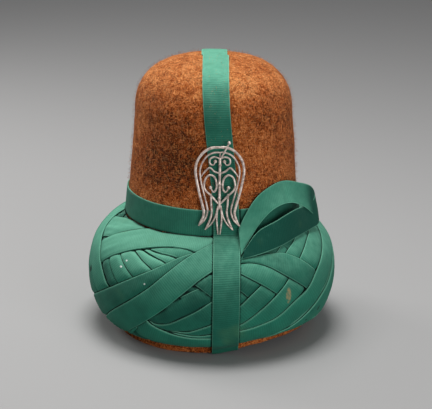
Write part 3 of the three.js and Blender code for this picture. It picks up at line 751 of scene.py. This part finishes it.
def brownFelt():
    look = {
        "dark": colourOf(46, 15, 3),
        "rust": colourOf(179, 82, 24),
        "light": colourOf(247, 174, 108),
        "strand": colourOf(246, 164, 94),
    }
    material, tree, sockets = newMaterial("brownFelt", {
        "Roughness": 0.95, "Sheen Weight": 0.1, "Sheen Roughness": 0.6,
        "Sheen Tint": colourOf(240, 190, 150), "Specular IOR Level": 0.1})
    place3d = placeOf(tree)
    broad = noiseOf(tree, place3d, 26, 3)
    clump = noiseOf(tree, place3d, 170, 5, 0.65, 1.2)
    fibre = noiseOf(tree, scaledVector(tree, place3d, (1.0, 1.0, 0.6)), 560, 5, 0.8, 2.6)
    level = linearOf(tree, clump, 0.3, timesOf(tree, fibre, 0.7))
    level = linearOf(tree, broad, 0.16, mathOf(tree, "ADD", level, -0.092))
    # painted shade: the felt darkens on the front-left and in the crevice under the band
    level = mathOf(tree, "SUBTRACT", level, timesOf(tree, attributeOf(tree, "paintedShade"), 0.06))
    # painted top light: upward-facing felt is made lighter
    level = linearOf(tree, rangeOf(tree, facingUp(tree), 0.15, 0.9), 0.05, level)
    colour = mixOf(tree, rangeOf(tree, level, 0.415, 0.505), look["dark"], look["rust"])
    colour = mixOf(tree, timesOf(tree, rangeOf(tree, level, 0.5, 0.6), 0.85), colour, look["light"])
    # light strands: partly the fibres' own colour, partly painted glints on the hairs
    upright = noiseOf(tree, scaledVector(tree, place3d, (1.0, 1.0, 0.25)), 760, 2, 0.5, 1.5)
    lying = noiseOf(tree, scaledVector(tree, place3d, (0.3, 0.3, 1.0)), 760, 2, 0.5, 1.5)
    strands = mathOf(tree, "MAXIMUM", upright, lying)
    colour = mixOf(tree, timesOf(tree, rangeOf(tree, strands, 0.58, 0.7), 0.55), colour, look["strand"])
    colour = mixOf(tree, timesOf(tree, rangeOf(tree, strands, 0.5, 0.42), 0.75), colour, look["dark"])
    tree.links.new(colour, sockets["Base Color"])
    tree.links.new(bumpOf(tree, fibre, 1.0, 0.0012, bumpOf(tree, clump, 0.7, 0.0014)), sockets["Normal"])
    return material


def feltHair():
    material, tree, sockets = newMaterial("feltHair", {"Roughness": 0.8})
    tint = rangeOf(tree, noiseOf(tree, placeOf(tree), 300, 2), 0.35, 0.65)
    tree.links.new(mixOf(tree, tint, colourOf(96, 46, 18), colourOf(216, 146, 92)), sockets["Base Color"])
    return material


def wornSilver():
    look = {"bright": colourOf(232, 216, 206), "dull": colourOf(176, 158, 150),
            "dark": colourOf(70, 60, 56)}
    material, tree, sockets = newMaterial("wornSilver", {"Metallic": 0.5})
    place3d = placeOf(tree)
    patch = noiseOf(tree, place3d, 260, 4, 0.6)
    speck = noiseOf(tree, place3d, 900, 3, 0.6)
    colour = mixOf(tree, rangeOf(tree, patch, 0.35, 0.6), look["dull"], look["bright"])
    colour = mixOf(tree, rangeOf(tree, speck, 0.62, 0.75), colour, look["dark"])
    tree.links.new(colour, sockets["Base Color"])
    tree.links.new(rangeOf(tree, patch, 0.3, 0.7, 0.6, 0.34), sockets["Roughness"])
    tree.links.new(bumpOf(tree, speck, 0.3, 0.0002), sockets["Normal"])
    return material


cotton = cottonTape()
felt = brownFelt()
hair = feltHair()
silver = wornSilver()


def finishPiece(piece, material, nodes=()):
    piece.data.materials.clear()
    piece.data.materials.append(material)
    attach(piece, rootBody)
    if nodes:
        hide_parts(*nodes)
    return piece


# wound tapes
def tapeStrip(tape):
    lift = tape["lift"]
    picks = list(range(0, lift.shape[1] - 1, 6)) + [lift.shape[1] - 1]
    outer = wrapPoint(tape["azimuth"], tape["share"], lift)
    inner = wrapPoint(tape["azimuth"][:, picks], tape["share"][:, picks],
                      lift[:, picks] - tapeSize["thickness"])
    values = {"paintedCreaseShade": tape["paintedCreaseShade"], "tone": np.full(lift.shape, tape["row"]["tone"])}
    return outer, inner, picks, pairs(tape["along"], tape["across"]), values


for tape in tapes:
    row = tape["row"]
    if not row.get("coarse"):
        finishPiece(stripObject(row["name"], [tapeStrip(tape)]), cotton,
                    [row["node"]] if row["node"] else [])
innerStrips = [tapeStrip(tape) for tape in tapes if tape["row"].get("coarse")]
finishPiece(stripObject("inner_turns", innerStrips), cotton)
print("tapes made")


# padding under the winding
def paddedRing():
    pad = {"around": 180, "rows": 44, "under": 1.3, "clear": 0.5,
           "insideFoot": 11, "insideTop": 10, "insideRows": 8,
           "paintedCreaseShade": 0.6, "tone": -0.3, "uvStep": (4.0, 3.0)}
    azimuth = np.arange(pad["around"])[:, None] * 360 / pad["around"] + np.zeros((1, pad["rows"]))
    share = np.zeros((pad["around"], 1)) + np.linspace(0, 1, pad["rows"])[None, :]
    outer = wrapPoint(azimuth, share, -readChart(wound, azimuth, share) - pad["under"])
    heights = np.linspace(pad["insideFoot"], wrapSize["height"] - pad["insideTop"], pad["insideRows"])
    inside = np.stack([place(azimuth[:, 0], capRadius(height) + pad["clear"], height)
                       for height in heights], axis=1)
    ring = np.concatenate([inside, outer], axis=1)
    rows, columns = ring.shape[:2]
    faces = gridFaces(rows, columns, closed=True, tube=True)
    flat = pairs(np.arange(rows)[:, None] * pad["uvStep"][0],
                 np.arange(columns)[None, :] * pad["uvStep"][1])
    # the padding carries the painted crease shade all over, as it lies in shade under the tapes
    values = {key: np.full(rows * columns, pad[key]) for key in ("paintedCreaseShade", "tone")}
    return meshObject("padding", ring.reshape(-1, 3), faces, flat.reshape(-1, 2), values)


padding = finishPiece(paddedRing(), cotton, ["padded_ring"])


# felt cap
def latheCap():
    size = {
        "around": 380, "wallRows": 104, "domeRows": 66, "innerWall": 26, "innerDome": 18, "sunk": 0.35,
        # feature size, seed and height of the felt's relief, from broad to fine
        "relief": [(38, 21, 0.55), (8, 22, 0.28), (2.6, 23, 0.13)],
        "innerRelief": 0.3, "rimRound": 0.9, "rimHalf": 0.7, "hairsFrom": 143,
        "frayAt": 3, "frayReach": 5, "frayMore": 3,
        # the painted shade on the front-left stretch, and the painted shade in the crevice under the band:
        # middle and reach
        "shadeTurn": (-26, 24), "shadeHeight": (195, 38), "creviceShade": (117, 5), "creviceShadeStrength": 12,
    }
    outer = capProfile(0, size["wallRows"], size["domeRows"])
    inner = capProfile(-capSize["wall"], size["innerWall"], size["innerDome"])
    azimuth = np.arange(size["around"])[:, None] * 360 / size["around"]
    turn = np.radians(azimuth)

    def roughened(line, amount):
        ring = place(azimuth, line[None, :, 0], line[None, :, 1])
        heading = np.gradient(line, axis=0)
        normal = unit(np.stack([heading[:, 1], -heading[:, 0]], axis=-1))
        frayed = 1 + size["frayMore"] * nearness(line[None, :, 1] - size["frayAt"], size["frayReach"])
        broad, lump, grain = [relief(ring, layer) for layer in size["relief"]]
        push = (broad + lump + grain * frayed - size["sunk"]) * amount
        ring[..., 0] += np.sin(turn) * normal[:, 0] * push
        ring[..., 1] -= np.cos(turn) * normal[:, 0] * push
        ring[..., 2] += normal[:, 1] * push
        ring[:, 0, 2] = place(azimuth[:, 0], 0, size["rimRound"])[:, 2]
        return ring

    outerRing = roughened(outer[:-1], 1.0)
    innerRing = roughened(inner[:-1], size["innerRelief"])
    middle = capSize["rimRadius"] - capSize["wall"] / 2
    footRadii = np.array([[middle + size["rimHalf"], middle - size["rimHalf"]]])
    foot = place(azimuth, footRadii, np.zeros((1, 2)))
    ring = np.concatenate([outerRing[:, ::-1], foot, innerRing], axis=1)
    rows, columns = ring.shape[:2]
    faces = gridFaces(rows, columns, closed=True)
    crown = rows * columns
    for i in range(rows):
        j = (i + 1) % rows
        faces.append([i * columns, j * columns, crown])
        faces.append([j * columns + columns - 1, i * columns + columns - 1, crown + 1])
    tops = [[0, 0, outer[-1, 1] - size["sunk"]], [0, 0, inner[-1, 1]]]
    outside = np.arange(columns)[None, :] < outerRing.shape[1]
    fuzzy = np.where(outside & (ring[..., 2] > size["hairsFrom"]), 1.0, 0.0).ravel()
    # painted shade: the felt is darkened on the front-left and in the crevice under the band
    paintedShade = nearness(fromFront(azimuth) - size["shadeTurn"][0], size["shadeTurn"][1])
    paintedShade = paintedShade * nearness(ring[..., 2] - size["shadeHeight"][0], size["shadeHeight"][1])
    paintedShade += size["creviceShadeStrength"] * nearness(ring[..., 2] - size["creviceShade"][0], size["creviceShade"][1])
    values = {"fuzzy": np.append(fuzzy, [1, 0]), "paintedShade": np.append(paintedShade.ravel(), [0, 0])}
    return meshObject("cap_of_felt", np.vstack([ring.reshape(-1, 3), tops]), faces, None, values, sharp=60)


capPiece = latheCap()
print("felt cap made")


# loose hairs on the felt, scattered by Geometry Nodes
def hairTree():
    tree = bpy.data.node_groups.new("looseHairs", "GeometryNodeTree")

    def randomTurn(low, high, seed):
        inputs = {0: low, 1: high, "Seed": seed}
        return nodeOf(tree, "FunctionNodeRandomValue", inputs, data_type="FLOAT_VECTOR").outputs[0]

    def rotated(rotation, by):
        inputs = {0: rotation, 1: by}
        return nodeOf(tree, "FunctionNodeRotateRotation", inputs, rotation_space="LOCAL").outputs[0]

    for name, way, kind in (("Cap", "INPUT", "Geometry"), ("Hairs per square metre", "INPUT", "Float"),
                            ("Hair length", "INPUT", "Float"), ("Hair radius", "INPUT", "Float"),
                            ("Hair material", "INPUT", "Material"), ("Hairs", "OUTPUT", "Geometry")):
        tree.interface.new_socket(name, in_out=way, socket_type="NodeSocket" + kind)
    given = nodeOf(tree, "NodeGroupInput").outputs
    fuzzy = nodeOf(tree, "GeometryNodeInputNamedAttribute", {"Name": "fuzzy"}, data_type="FLOAT")
    density = timesOf(tree, given["Hairs per square metre"], fuzzy.outputs["Attribute"])
    scatter = nodeOf(tree, "GeometryNodeDistributePointsOnFaces",
                     {"Mesh": given["Cap"], "Density": density, "Seed": 7})
    strand = nodeOf(tree, "GeometryNodeCurveQuadraticBezier",
                    {"Resolution": 3, "Start": (0, 0, -0.0002), "Middle": (0, -0.08, 0.5),
                     "End": (0, 0.25, 1)})
    section = nodeOf(tree, "GeometryNodeCurvePrimitiveCircle",
                     {"Resolution": 3, "Radius": given["Hair radius"]})
    tube = nodeOf(tree, "GeometryNodeCurveToMesh", {
        "Curve": strand.outputs[0], "Profile Curve": section.outputs[0], "Fill Caps": True})
    spun = rotated(scatter.outputs["Rotation"], randomTurn((0, 0, 0), (0, 0, 6.28), 4))
    tipped = rotated(spun, randomTurn((1.15, -0.12, 0), (1.5, 0.12, 0), 3))
    size = nodeOf(tree, "FunctionNodeRandomValue", {2: 0.55, 3: 1.3, "Seed": 5}, data_type="FLOAT")
    length = timesOf(tree, size.outputs[1], given["Hair length"])
    stretch = nodeOf(tree, "ShaderNodeCombineXYZ", {0: 1.0, 1: length, 2: length})
    copies = nodeOf(tree, "GeometryNodeInstanceOnPoints", {
        "Points": scatter.outputs["Points"], "Instance": tube.outputs[0], "Rotation": tipped,
        "Scale": stretch.outputs[0]})
    real = nodeOf(tree, "GeometryNodeRealizeInstances", {0: copies.outputs[0]})
    paint = nodeOf(tree, "GeometryNodeSetMaterial",
                   {"Geometry": real.outputs[0], "Material": given["Hair material"]})
    nodeOf(tree, "NodeGroupOutput", {0: paint.outputs[0]})
    return tree


def grownBy(host, tree, settings, name):
    modifier = host.modifiers.new(name, "NODES")
    modifier.node_group = tree
    for item in tree.interface.items_tree:
        if item.item_type == "SOCKET" and item.in_out == "INPUT" and item.name in settings:
            modifier[item.identifier] = settings[item.name]
    bpy.context.view_layer.update()
    graph = bpy.context.evaluated_depsgraph_get()
    mesh = bpy.data.meshes.new_from_object(host.evaluated_get(graph), depsgraph=graph)
    mesh.name = name
    host.modifiers.remove(modifier)
    return linked(bpy.data.objects.new(name, mesh))


hairSettings = {"Hairs per square metre": 110000.0, "Hair length": 0.0046, "Hair radius": 0.00009,
                "Hair material": hair}
hairs = grownBy(capPiece, hairTree(), hairSettings, "felt_hairs")
print("hairs:", len(hairs.data.polygons), "faces")
finishPiece(capPiece, felt, ["felt_cap"])
finishPiece(hairs, hair)


# band round the crown
def crownBand():
    band = {"foot": 117.3, "around": 420, "across": 26, "wave": (30, 31, 0.35),
            "full": (16, 32, 0.15), "round": 0.25, "radius": 85, "uvStep": 1.27, "tone": -0.05,
            # how dark the painted shade on the band is beside the strap and along its foot, and how far
            # that reaches
            "strapTurn": 9.3, "strapHalf": 8.4, "shadeBesideStrap": (0.8, 1.4), "shadeAlongFoot": (0.7, 1.2)}
    azimuth = np.arange(band["around"])[:, None] * 360 / band["around"] - 180
    turn = np.radians(azimuth)
    up = np.linspace(0, tapeSize["width"], band["across"])[None, :]
    ring = np.stack([np.sin(turn) * band["radius"], np.cos(turn) * band["radius"], azimuth * 0], -1)
    height = band["foot"] + up + relief(ring, band["wave"]) * (up / tapeSize["width"])
    spots = np.concatenate([ring[:, :, :2] + np.zeros((1, band["across"], 1)), height[..., None]], -1)
    fromEdge = np.minimum(up, tapeSize["width"] - up)
    out = (capRadius(height) + tapeSize["clearance"] + tapeSize["thickness"]
           + relief(spots, band["full"])
           - band["round"] * nearness(fromEdge, tapeSize["edgeRound"]))
    picks = [0, 5, 10, 15, 20, band["across"] - 1]
    outer = place(azimuth, out, height)
    inner = place(azimuth, (out - tapeSize["thickness"])[:, picks], height[:, picks])
    uv = pairs(np.arange(band["around"])[:, None] * band["uvStep"], up)
    fromStrap = np.abs(azimuth - band["strapTurn"]) - band["strapHalf"]
    beside, foot = band["shadeBesideStrap"], band["shadeAlongFoot"]
    shade = nearness(fromStrap, beside[1]) * beside[0] + foot[0] * nearness(up, foot[1])
    values = {"paintedCreaseShade": shade, "tone": np.full(shade.shape, band["tone"])}
    return stripObject("band", [(outer, inner, picks, uv, values)], closed=True)


finishPiece(crownBand(), cotton, ["crown_band"])


# strap from inside the front rim, over the crown, to inside the back rim
def crownStrap():
    strap = {
        "turnUp": 14.0, "across": 25, "step": 0.7, "wrapRows": 90, "slant": 0.9,
        # how far it lies out over the winding and the band, and where it comes back to the cap
        "overWrap": 0.9, "overBand": 1.75, "bandFoot": 118.0, "backFrom": 139, "backTo": 151,
        "ribPitch": 2.1, "ribDepth": 0.045, "round": 0.3, "uneven": (17, 41, 0.18), "crimpShade": 0.5,
        "tone": -0.1, "crownTopLight": 0.4, "crownFrom": 250, "crownTo": 268,
    }
    clear, thick = tapeSize["clearance"], tapeSize["thickness"]
    offsets = np.linspace(-0.5, 0.5, strap["across"]) * tapeSize["width"]

    def centreAt(height, front):
        eased = smoothStep(height, wrapSize["height"], capSize["crownHeight"])
        return tapeSize["strapCentre"] * float(1 - strap["slant"] * eased) if front else 0.0

    def turnsAt(radius, height, front):
        turn = np.degrees(np.arcsin((centreAt(height, front) + offsets) / radius))
        return turn if front else 180 - turn

    def half(front):
        rows = []
        inside = capRadius(0) - capSize["wall"] - clear
        low = [(capRadius(strap["turnUp"]) - capSize["wall"] - clear - 0.3, strap["turnUp"]),
               (inside - 0.2, 2.0), (inside + 0.6, -clear), (capSize["rimRadius"] + 0.3, -clear),
               (outlineLine[-1, 0] - 0.6, 2.2)]
        for radius, height in evenly(throughPoints(low, 12), 24):
            rows.append(place(turnsAt(radius, height, front), radius, height))
        for share in np.linspace(0.992, 0.012, strap["wrapRows"]):
            turn = turnsAt(float(ringRadius(share)), float(ringHeight(share)), front)
            rows.append(wrapPoint(turn, share, strap["overWrap"]))
        line = capProfile(clear, 200, 240)
        line = line[line[:, 1] > strap["bandFoot"] + 1.5]
        line[:, 0] += strap["overBand"] * (1 - smoothStep(line[:, 1], strap["backFrom"], strap["backTo"]))
        line = evenly(line, int(lengthsAlong(line)[-1] / strap["step"]))
        for radius, height in line:
            centre = centreAt(height, front)
            x = centre + offsets
            y = (-1 if front else 1) * math.sqrt(max(radius**2 - centre**2, 0.0))
            spread = np.hypot(x, y)
            away = (spread[:, None] - line[None, :, 0]) ** 2 + (height - line[None, :, 1]) ** 2
            nearest = line[np.argmin(away, axis=1)]
            scale = nearest[:, 0] / np.maximum(spread, 1e-3)
            rows.append(np.stack([x * scale, y * scale, nearest[:, 1]], -1))
        return rows

    stations = np.array(half(True) + half(False)[::-1][1:])
    for _ in range(3):
        stations[1:-1] = (stations[:-2] + 2 * stations[1:-1] + stations[2:]) / 4
    middle = strap["across"] // 2
    run = lengthsAlong(stations[:, middle])
    at = np.linspace(0, run[-1], int(run[-1] / strap["step"]))
    inner = readLine(stations.reshape(len(stations), -1), run, at).reshape(len(at), -1, 3)
    normal = unit(np.cross(np.gradient(inner, axis=0), np.gradient(inner, axis=1)))
    outwards = inner - np.array([0, 0, 120.0])
    upper = slice(len(at) // 3, len(at) // 2)
    normal *= np.sign(np.einsum("ijk,ijk->", normal[upper], outwards[upper]))
    fromEdge = tapeSize["width"] / 2 - np.abs(offsets)
    rib = strap["ribDepth"] * np.cos(2 * math.pi * at / strap["ribPitch"])[:, None]
    high = (thick - strap["round"] * nearness(fromEdge, tapeSize["edgeRound"])[None, :] + rib
            + relief(inner, strap["uneven"]))
    outer = inner + normal * high[..., None]
    picks = [0, 6, 12, 18, 24]
    uv = pairs(at[:, None], offsets[None, :] + tapeSize["width"] / 2)
    # painted shade in the fold where the front of the strap bends at the band's foot
    bend = nearness(np.abs(inner[:, middle, 2] - (strap["bandFoot"] + 0.3)), 1.0)
    crimpShade = np.where(inner[:, middle, 1] < 0, bend, 0)[:, None] * strap["crimpShade"]
    # painted top light: the strap's tone is raised over the top of the crown
    crown = smoothStep(inner[..., 2], strap["crownFrom"], strap["crownTo"])
    tone = strap["crownTopLight"] * crown + strap["tone"]
    values = {"paintedCreaseShade": crimpShade + np.zeros((1, strap["across"])), "tone": tone}
    return stripObject("strap", [(outer, inner[:, picks], picks, uv, values)])


finishPiece(crownStrap(), cotton, ["crown_strap"])


# loop of tape beside the strap
def sideLoop():
    loop = {
        "lift": 1.2, "across": 17, "step": 0.8, "crown": 0.5, "uneven": (15, 51, 0.3),
        "thinEdge": 0.55, "edgeReach": 1.2,
        # lower edge, then upper edge: azimuth, height as a share of the wrap's, and distance out of the cap
        # as a share of the tape's width
        "stations": [(15, 0.885, 0.75, 16, 1.06, 0.2), (20, 0.955, 0.46, 20, 1.155, 0.14),
                     (29, 1.08, 0.23, 29, 1.29, 0.05), (38.5, 1.185, 0.3, 39.5, 1.355, 0.02),
                     (51.5, 1.21, 0.36, 53.5, 1.375, 0.03), (64, 1.14, 0.5, 66, 1.33, 0.3),
                     (73, 1.04, 0.65, 77, 1.26, 0.56), (80, 0.96, 0.77, 84, 1.18, 0.63),
                     (77, 0.935, 0.79, 80, 1.145, 0.65), (67, 0.925, 0.63, 69.5, 1.13, 0.49),
                     (53, 0.925, 0.61, 52, 1.145, 0.48), (37.5, 0.9, 0.73, 39, 1.1, 0.43),
                     (25, 0.875, 0.82, 27, 1.04, 0.4), (15.5, 0.86, 0.87, 16.5, 0.915, 0.73)],
        "twist": 1.2, "twistAt": 74.0, "twistWide": 4.0,
        "backTone": 0.15, "frontDarker": 0.9, "frontFrom": 100.0, "frontTo": 125.0,
    }
    edges = []
    for column in (0, 3):
        spots = []
        for station in loop["stations"]:
            azimuth, up, out = station[column:column + 3]
            height = up * wrapSize["height"]
            radius = capRadius(height) + out * tapeSize["width"] + loop["lift"]
            spots.append(place(azimuth, radius, height + loop["lift"]))
        edges.append(throughPoints(spots, 24))
    run = lengthsAlong((edges[0] + edges[1]) / 2)
    at = np.linspace(0, run[-1], int(run[-1] / loop["step"]))
    low, high = [readLine(line, run, at) for line in edges]
    mix = np.linspace(0, 1, loop["across"])
    middle = low[:, None] * (1 - mix[None, :, None]) + high[:, None] * mix[None, :, None]
    normal = unit(np.cross(np.gradient(middle, axis=1), np.gradient(middle, axis=0)))
    fromEdge = np.minimum(mix, 1 - mix) * tapeSize["width"]
    half = tapeSize["thickness"] / 2 * np.clip(loop["thinEdge"] + fromEdge / loop["edgeReach"], 0, 1)
    crown = loop["crown"] * (1 - np.abs(2 * mix - 1) ** 2)
    twist = loop["twist"] * nearness(at - loop["twistAt"], loop["twistWide"])
    bow = crown[None, :] + relief(middle, loop["uneven"]) + twist[:, None]
    outer = middle + normal * (bow + half[None, :])[..., None]
    inner = middle + normal * (bow - half[None, :])[..., None]
    uv = pairs(at[:, None], mix[None, :] * tapeSize["width"])
    tone = loop["backTone"] - loop["frontDarker"] * smoothStep(at, loop["frontFrom"], loop["frontTo"])
    values = {"paintedCreaseShade": np.zeros(uv.shape[:2]), "tone": tone[:, None] + np.zeros(uv.shape[:2])}
    return stripObject("loop", [(outer, inner, list(range(loop["across"])), uv, values)])


finishPiece(sideLoop(), cotton, ["side_loop"])
print("band, strap and loop made")


# brooch
brooch = {
    "width": 47.0, "height": 86.0, "foot": 119.0, "centre": 6.5, "wire": 2.1, "depth": 1.5, "sides": 10,
    "step": 0.8, "worn": (3, 61, 0.08),
    # over how many points a wire widens from each end, and by what share
    "beginning": (3.0, 0.3), "ending": (8.0, 0.5),
    # thickness, then points as shares of half the width and of the height; all are mirrored
    "wires": [
        (1.15, [(0, 0.985), (0.3, 0.98), (0.62, 0.935), (0.88, 0.84), (0.965, 0.73), (0.9, 0.6),
                (0.78, 0.45), (0.67, 0.34), (0.61, 0.26), (0.67, 0.19), (0.82, 0.11)]),
        (0.8, [(0, 0.93), (0.26, 0.925), (0.52, 0.885), (0.72, 0.8), (0.79, 0.71), (0.73, 0.59),
               (0.61, 0.46), (0.5, 0.34), (0.47, 0.27), (0.58, 0.18), (0.82, 0.11)]),
        (0.9, [(0.34, 0.47), (0.33, 0.36), (0.3, 0.26), (0.38, 0.17), (0.56, 0.065)]),
        (0.7, [(0.06, 0.34), (0.14, 0.23), (0.3, 0.14), (0.56, 0.065)]),
        (0.8, [(0.04, 0.34), (0.1, 0.2), (0.04, 0.015)]),
        (0.9, [(0.05, 0.36), (0.3, 0.44), (0.6, 0.53), (0.56, 0.64), (0.36, 0.68), (0.17, 0.64),
               (0.12, 0.54), (0.24, 0.49), (0.36, 0.54)]),
        (0.8, [(0.02, 0.7), (0.22, 0.72), (0.4, 0.76), (0.58, 0.72), (0.74, 0.66)]),
        (0.8, [(0.02, 0.86), (0.2, 0.88), (0.38, 0.86), (0.4, 0.81), (0.26, 0.79), (0.18, 0.83)]),
        (1.1, [(0, 0.3), (0, 0.5), (0, 0.72), (0, 0.93)]),
    ],
    "balls": [(0, 0.79), (0, 0.58), (0, 0.42), (0.36, 0.54), (-0.36, 0.54), (0.18, 0.83), (-0.18, 0.83)],
    "ball": 1.7,
}


def onBrooch(side, up):
    return side * brooch["width"] / 2, up * brooch["height"]


def drawnIn(steps, reach, share):
    return np.minimum(steps / reach, 1) * share + (1 - share)


def tubeParts(line, widths, depth, sides):
    # closed round-edged wire along a flat line
    heading = unit(np.gradient(line, axis=0))
    normal = np.stack([-heading[:, 1], heading[:, 0]], -1)
    turn = np.arange(sides) * 2 * math.pi / sides
    flat = line[:, None] + normal[:, None] * (np.cos(turn)[None, :, None] * widths[:, None, None] / 2)
    out = np.sin(turn)[None, :] * depth / 2 * np.clip(widths / widths.max(), 0.5, 1)[:, None] + depth / 2
    points = np.concatenate([flat, out[..., None]], -1).reshape(-1, 3)
    faces = gridFaces(len(line), sides, tube=True)
    faces += [list(range(sides))[::-1], list(range(len(points) - sides, len(points)))]
    return points, faces


def ballParts(centre, radius, rings=6, sides=10):
    polar = np.arange(1, rings)[:, None] * math.pi / rings
    turn = np.arange(sides)[None, :] * 2 * math.pi / sides
    round3d = np.stack([np.sin(polar) * np.cos(turn), np.sin(polar) * np.sin(turn),
                        np.cos(polar) + 0 * turn], -1).reshape(-1, 3)
    points = centre + radius * np.vstack([[[0, 0, 1]], round3d, [[0, 0, -1]]])
    faces = [face[::-1] for face in gridFaces(rings - 1, sides, 1, tube=True)]
    last = len(points) - 1
    for k in range(sides):
        after = (k + 1) % sides
        faces.append([0, 1 + k, 1 + after])
        faces.append([last - sides + k, last, last - sides + after])
    return points, faces


def standUp(points):
    # stands the flat outline up in front of the strap, leaning with the cap's wall
    lean = math.atan((capSize["rimRadius"] - capSize["shoulderRadius"]) / capSize["shoulderHeight"])
    forward = float(capRadius(brooch["foot"])) + tapeSize["thickness"] * 2 + tapeSize["clearance"] * 4
    x, y, z = np.moveaxis(np.asarray(points, float), -1, 0)
    return np.stack([x + brooch["centre"], y * math.sin(lean) - z * math.cos(lean) - forward,
                     y * math.cos(lean) + z * math.sin(lean) + brooch["foot"]], -1)


def silverBrooch():
    parts = []
    for thickness, path in brooch["wires"]:
        onMiddle = all(side == 0 for side, up in path)
        for flip in (1,) if onMiddle else (1, -1):
            line = throughPoints([onBrooch(side * flip, up) for side, up in path], 8, power=0,
                                 mirrorEnds=False)
            line = evenly(line, max(8, int(lengthsAlong(line)[-1] / brooch["step"])))
            number = np.arange(len(line))
            beginning = drawnIn(number, *brooch["beginning"])
            ending = drawnIn(number[::-1], *brooch["ending"])
            worn = 1 + relief(np.concatenate([line, np.zeros((len(line), 1))], -1), brooch["worn"])
            widths = brooch["wire"] * thickness * beginning * ending * worn
            parts.append(tubeParts(line, widths, brooch["depth"], brooch["sides"]))
    for side, up in brooch["balls"]:
        parts.append(ballParts(np.array([*onBrooch(side, up), brooch["depth"] / 2]), brooch["ball"]))
    points, faces = joined(parts)
    return meshObject("openwork_brooch", standUp(points), faces, sharp=50)


def broochPin():
    pin = {"from": (0.05, 0.87), "to": (0.36, 1.04), "radius": 0.75, "head": 1.6, "rows": 14}
    line = evenly(np.array([onBrooch(*pin["from"]), onBrooch(*pin["to"])]), pin["rows"])
    forward = brooch["depth"] + pin["radius"] + tapeSize["clearance"]
    shaft, sides = tubeParts(line, np.full(len(line), pin["radius"] * 2), pin["radius"] * 2, 12)
    shaft[:, 2] += forward - pin["radius"]
    head = ballParts(np.array([*line[-1], forward]), pin["head"], 8, 14)
    points, faces = joined([(shaft, sides), head])
    return meshObject("headed_pin", standUp(points), faces, sharp=50)


finishPiece(silverBrooch(), silver, ["brooch"])
finishPiece(broochPin(), silver, ["brooch_pin"])
print("brooch made")


# floor, light and camera
def studio():
    light = {
        "worldGrey": 0.175,
        "target": (0, 0, 0.12),
        # name, place, size, power, colour
        "lamps": [("overhead", (-0.1, 0.05, 1.5), 0.75, 21, (1.0, 0.99, 0.97)),
                  ("leftBack", (-1.0, 0.7, 0.6), 0.5, 5, (1.0, 0.98, 0.95)),
                  ("lowFront", (0.9, -1.35, 0.3), 0.9, 12.5, (1.0, 0.99, 0.98))],
        "floor": [(-6, -4, 0), (6, -4, 0), (6, 8, 0), (-6, 8, 0)],
    }
    world = bpy.data.worlds.new("studioAir")
    bpy.context.scene.world = world
    world.use_nodes = True
    background = world.node_tree.nodes["Background"]
    background.inputs[0].default_value = (*[light["worldGrey"]] * 3, 1)
    background.inputs[1].default_value = 1.0
    for name, spot, size, power, colour in light["lamps"]:
        data = bpy.data.lights.new(name, "AREA")
        data.shape = "SQUARE"
        data.size = size
        data.energy = power
        data.color = colour
        lamp = linked(bpy.data.objects.new(name, data))
        lamp.location = spot
        lamp.rotation_euler = (Vector(light["target"]) - Vector(spot)).to_track_quat("-Z", "Y").to_euler()
    mesh = bpy.data.meshes.new("paleFloor")
    mesh.from_pydata(light["floor"], [], [(0, 1, 2, 3)])
    inputs = {"Roughness": 0.75, "Base Color": colourOf(168, 168, 169)}
    mesh.materials.append(newMaterial("paleFloor", inputs)[0])
    floor = linked(bpy.data.objects.new("paleFloor", mesh))


def photoCamera():
    view = {"distance": 1.6, "elevation": 18.0, "aim": 0.121, "lens": 134.17, "sensor": 36,
            "shift": 0.00833, "roll": 0.78, "near": 0.05}
    tilt = math.radians(view["elevation"])
    forward = Vector((0, math.cos(tilt), -math.sin(tilt)))
    data = bpy.data.cameras.new("photoCamera")
    data.lens = view["lens"]
    data.sensor_width = view["sensor"]
    data.shift_x = view["shift"]
    data.clip_start = view["near"]
    camera = linked(bpy.data.objects.new("photoCamera", data))
    camera.location = Vector((0, 0, view["aim"])) - forward * view["distance"]
    camera.rotation_mode = "QUATERNION"
    roll = Quaternion((0, 0, 1), math.radians(view["roll"]))
    camera.rotation_quaternion = forward.to_track_quat("-Z", "Y") @ roll
    bpy.context.scene.camera = camera


studio()
photoCamera()
bpy.context.scene.view_settings.view_transform = "Standard"
print("studio ready")
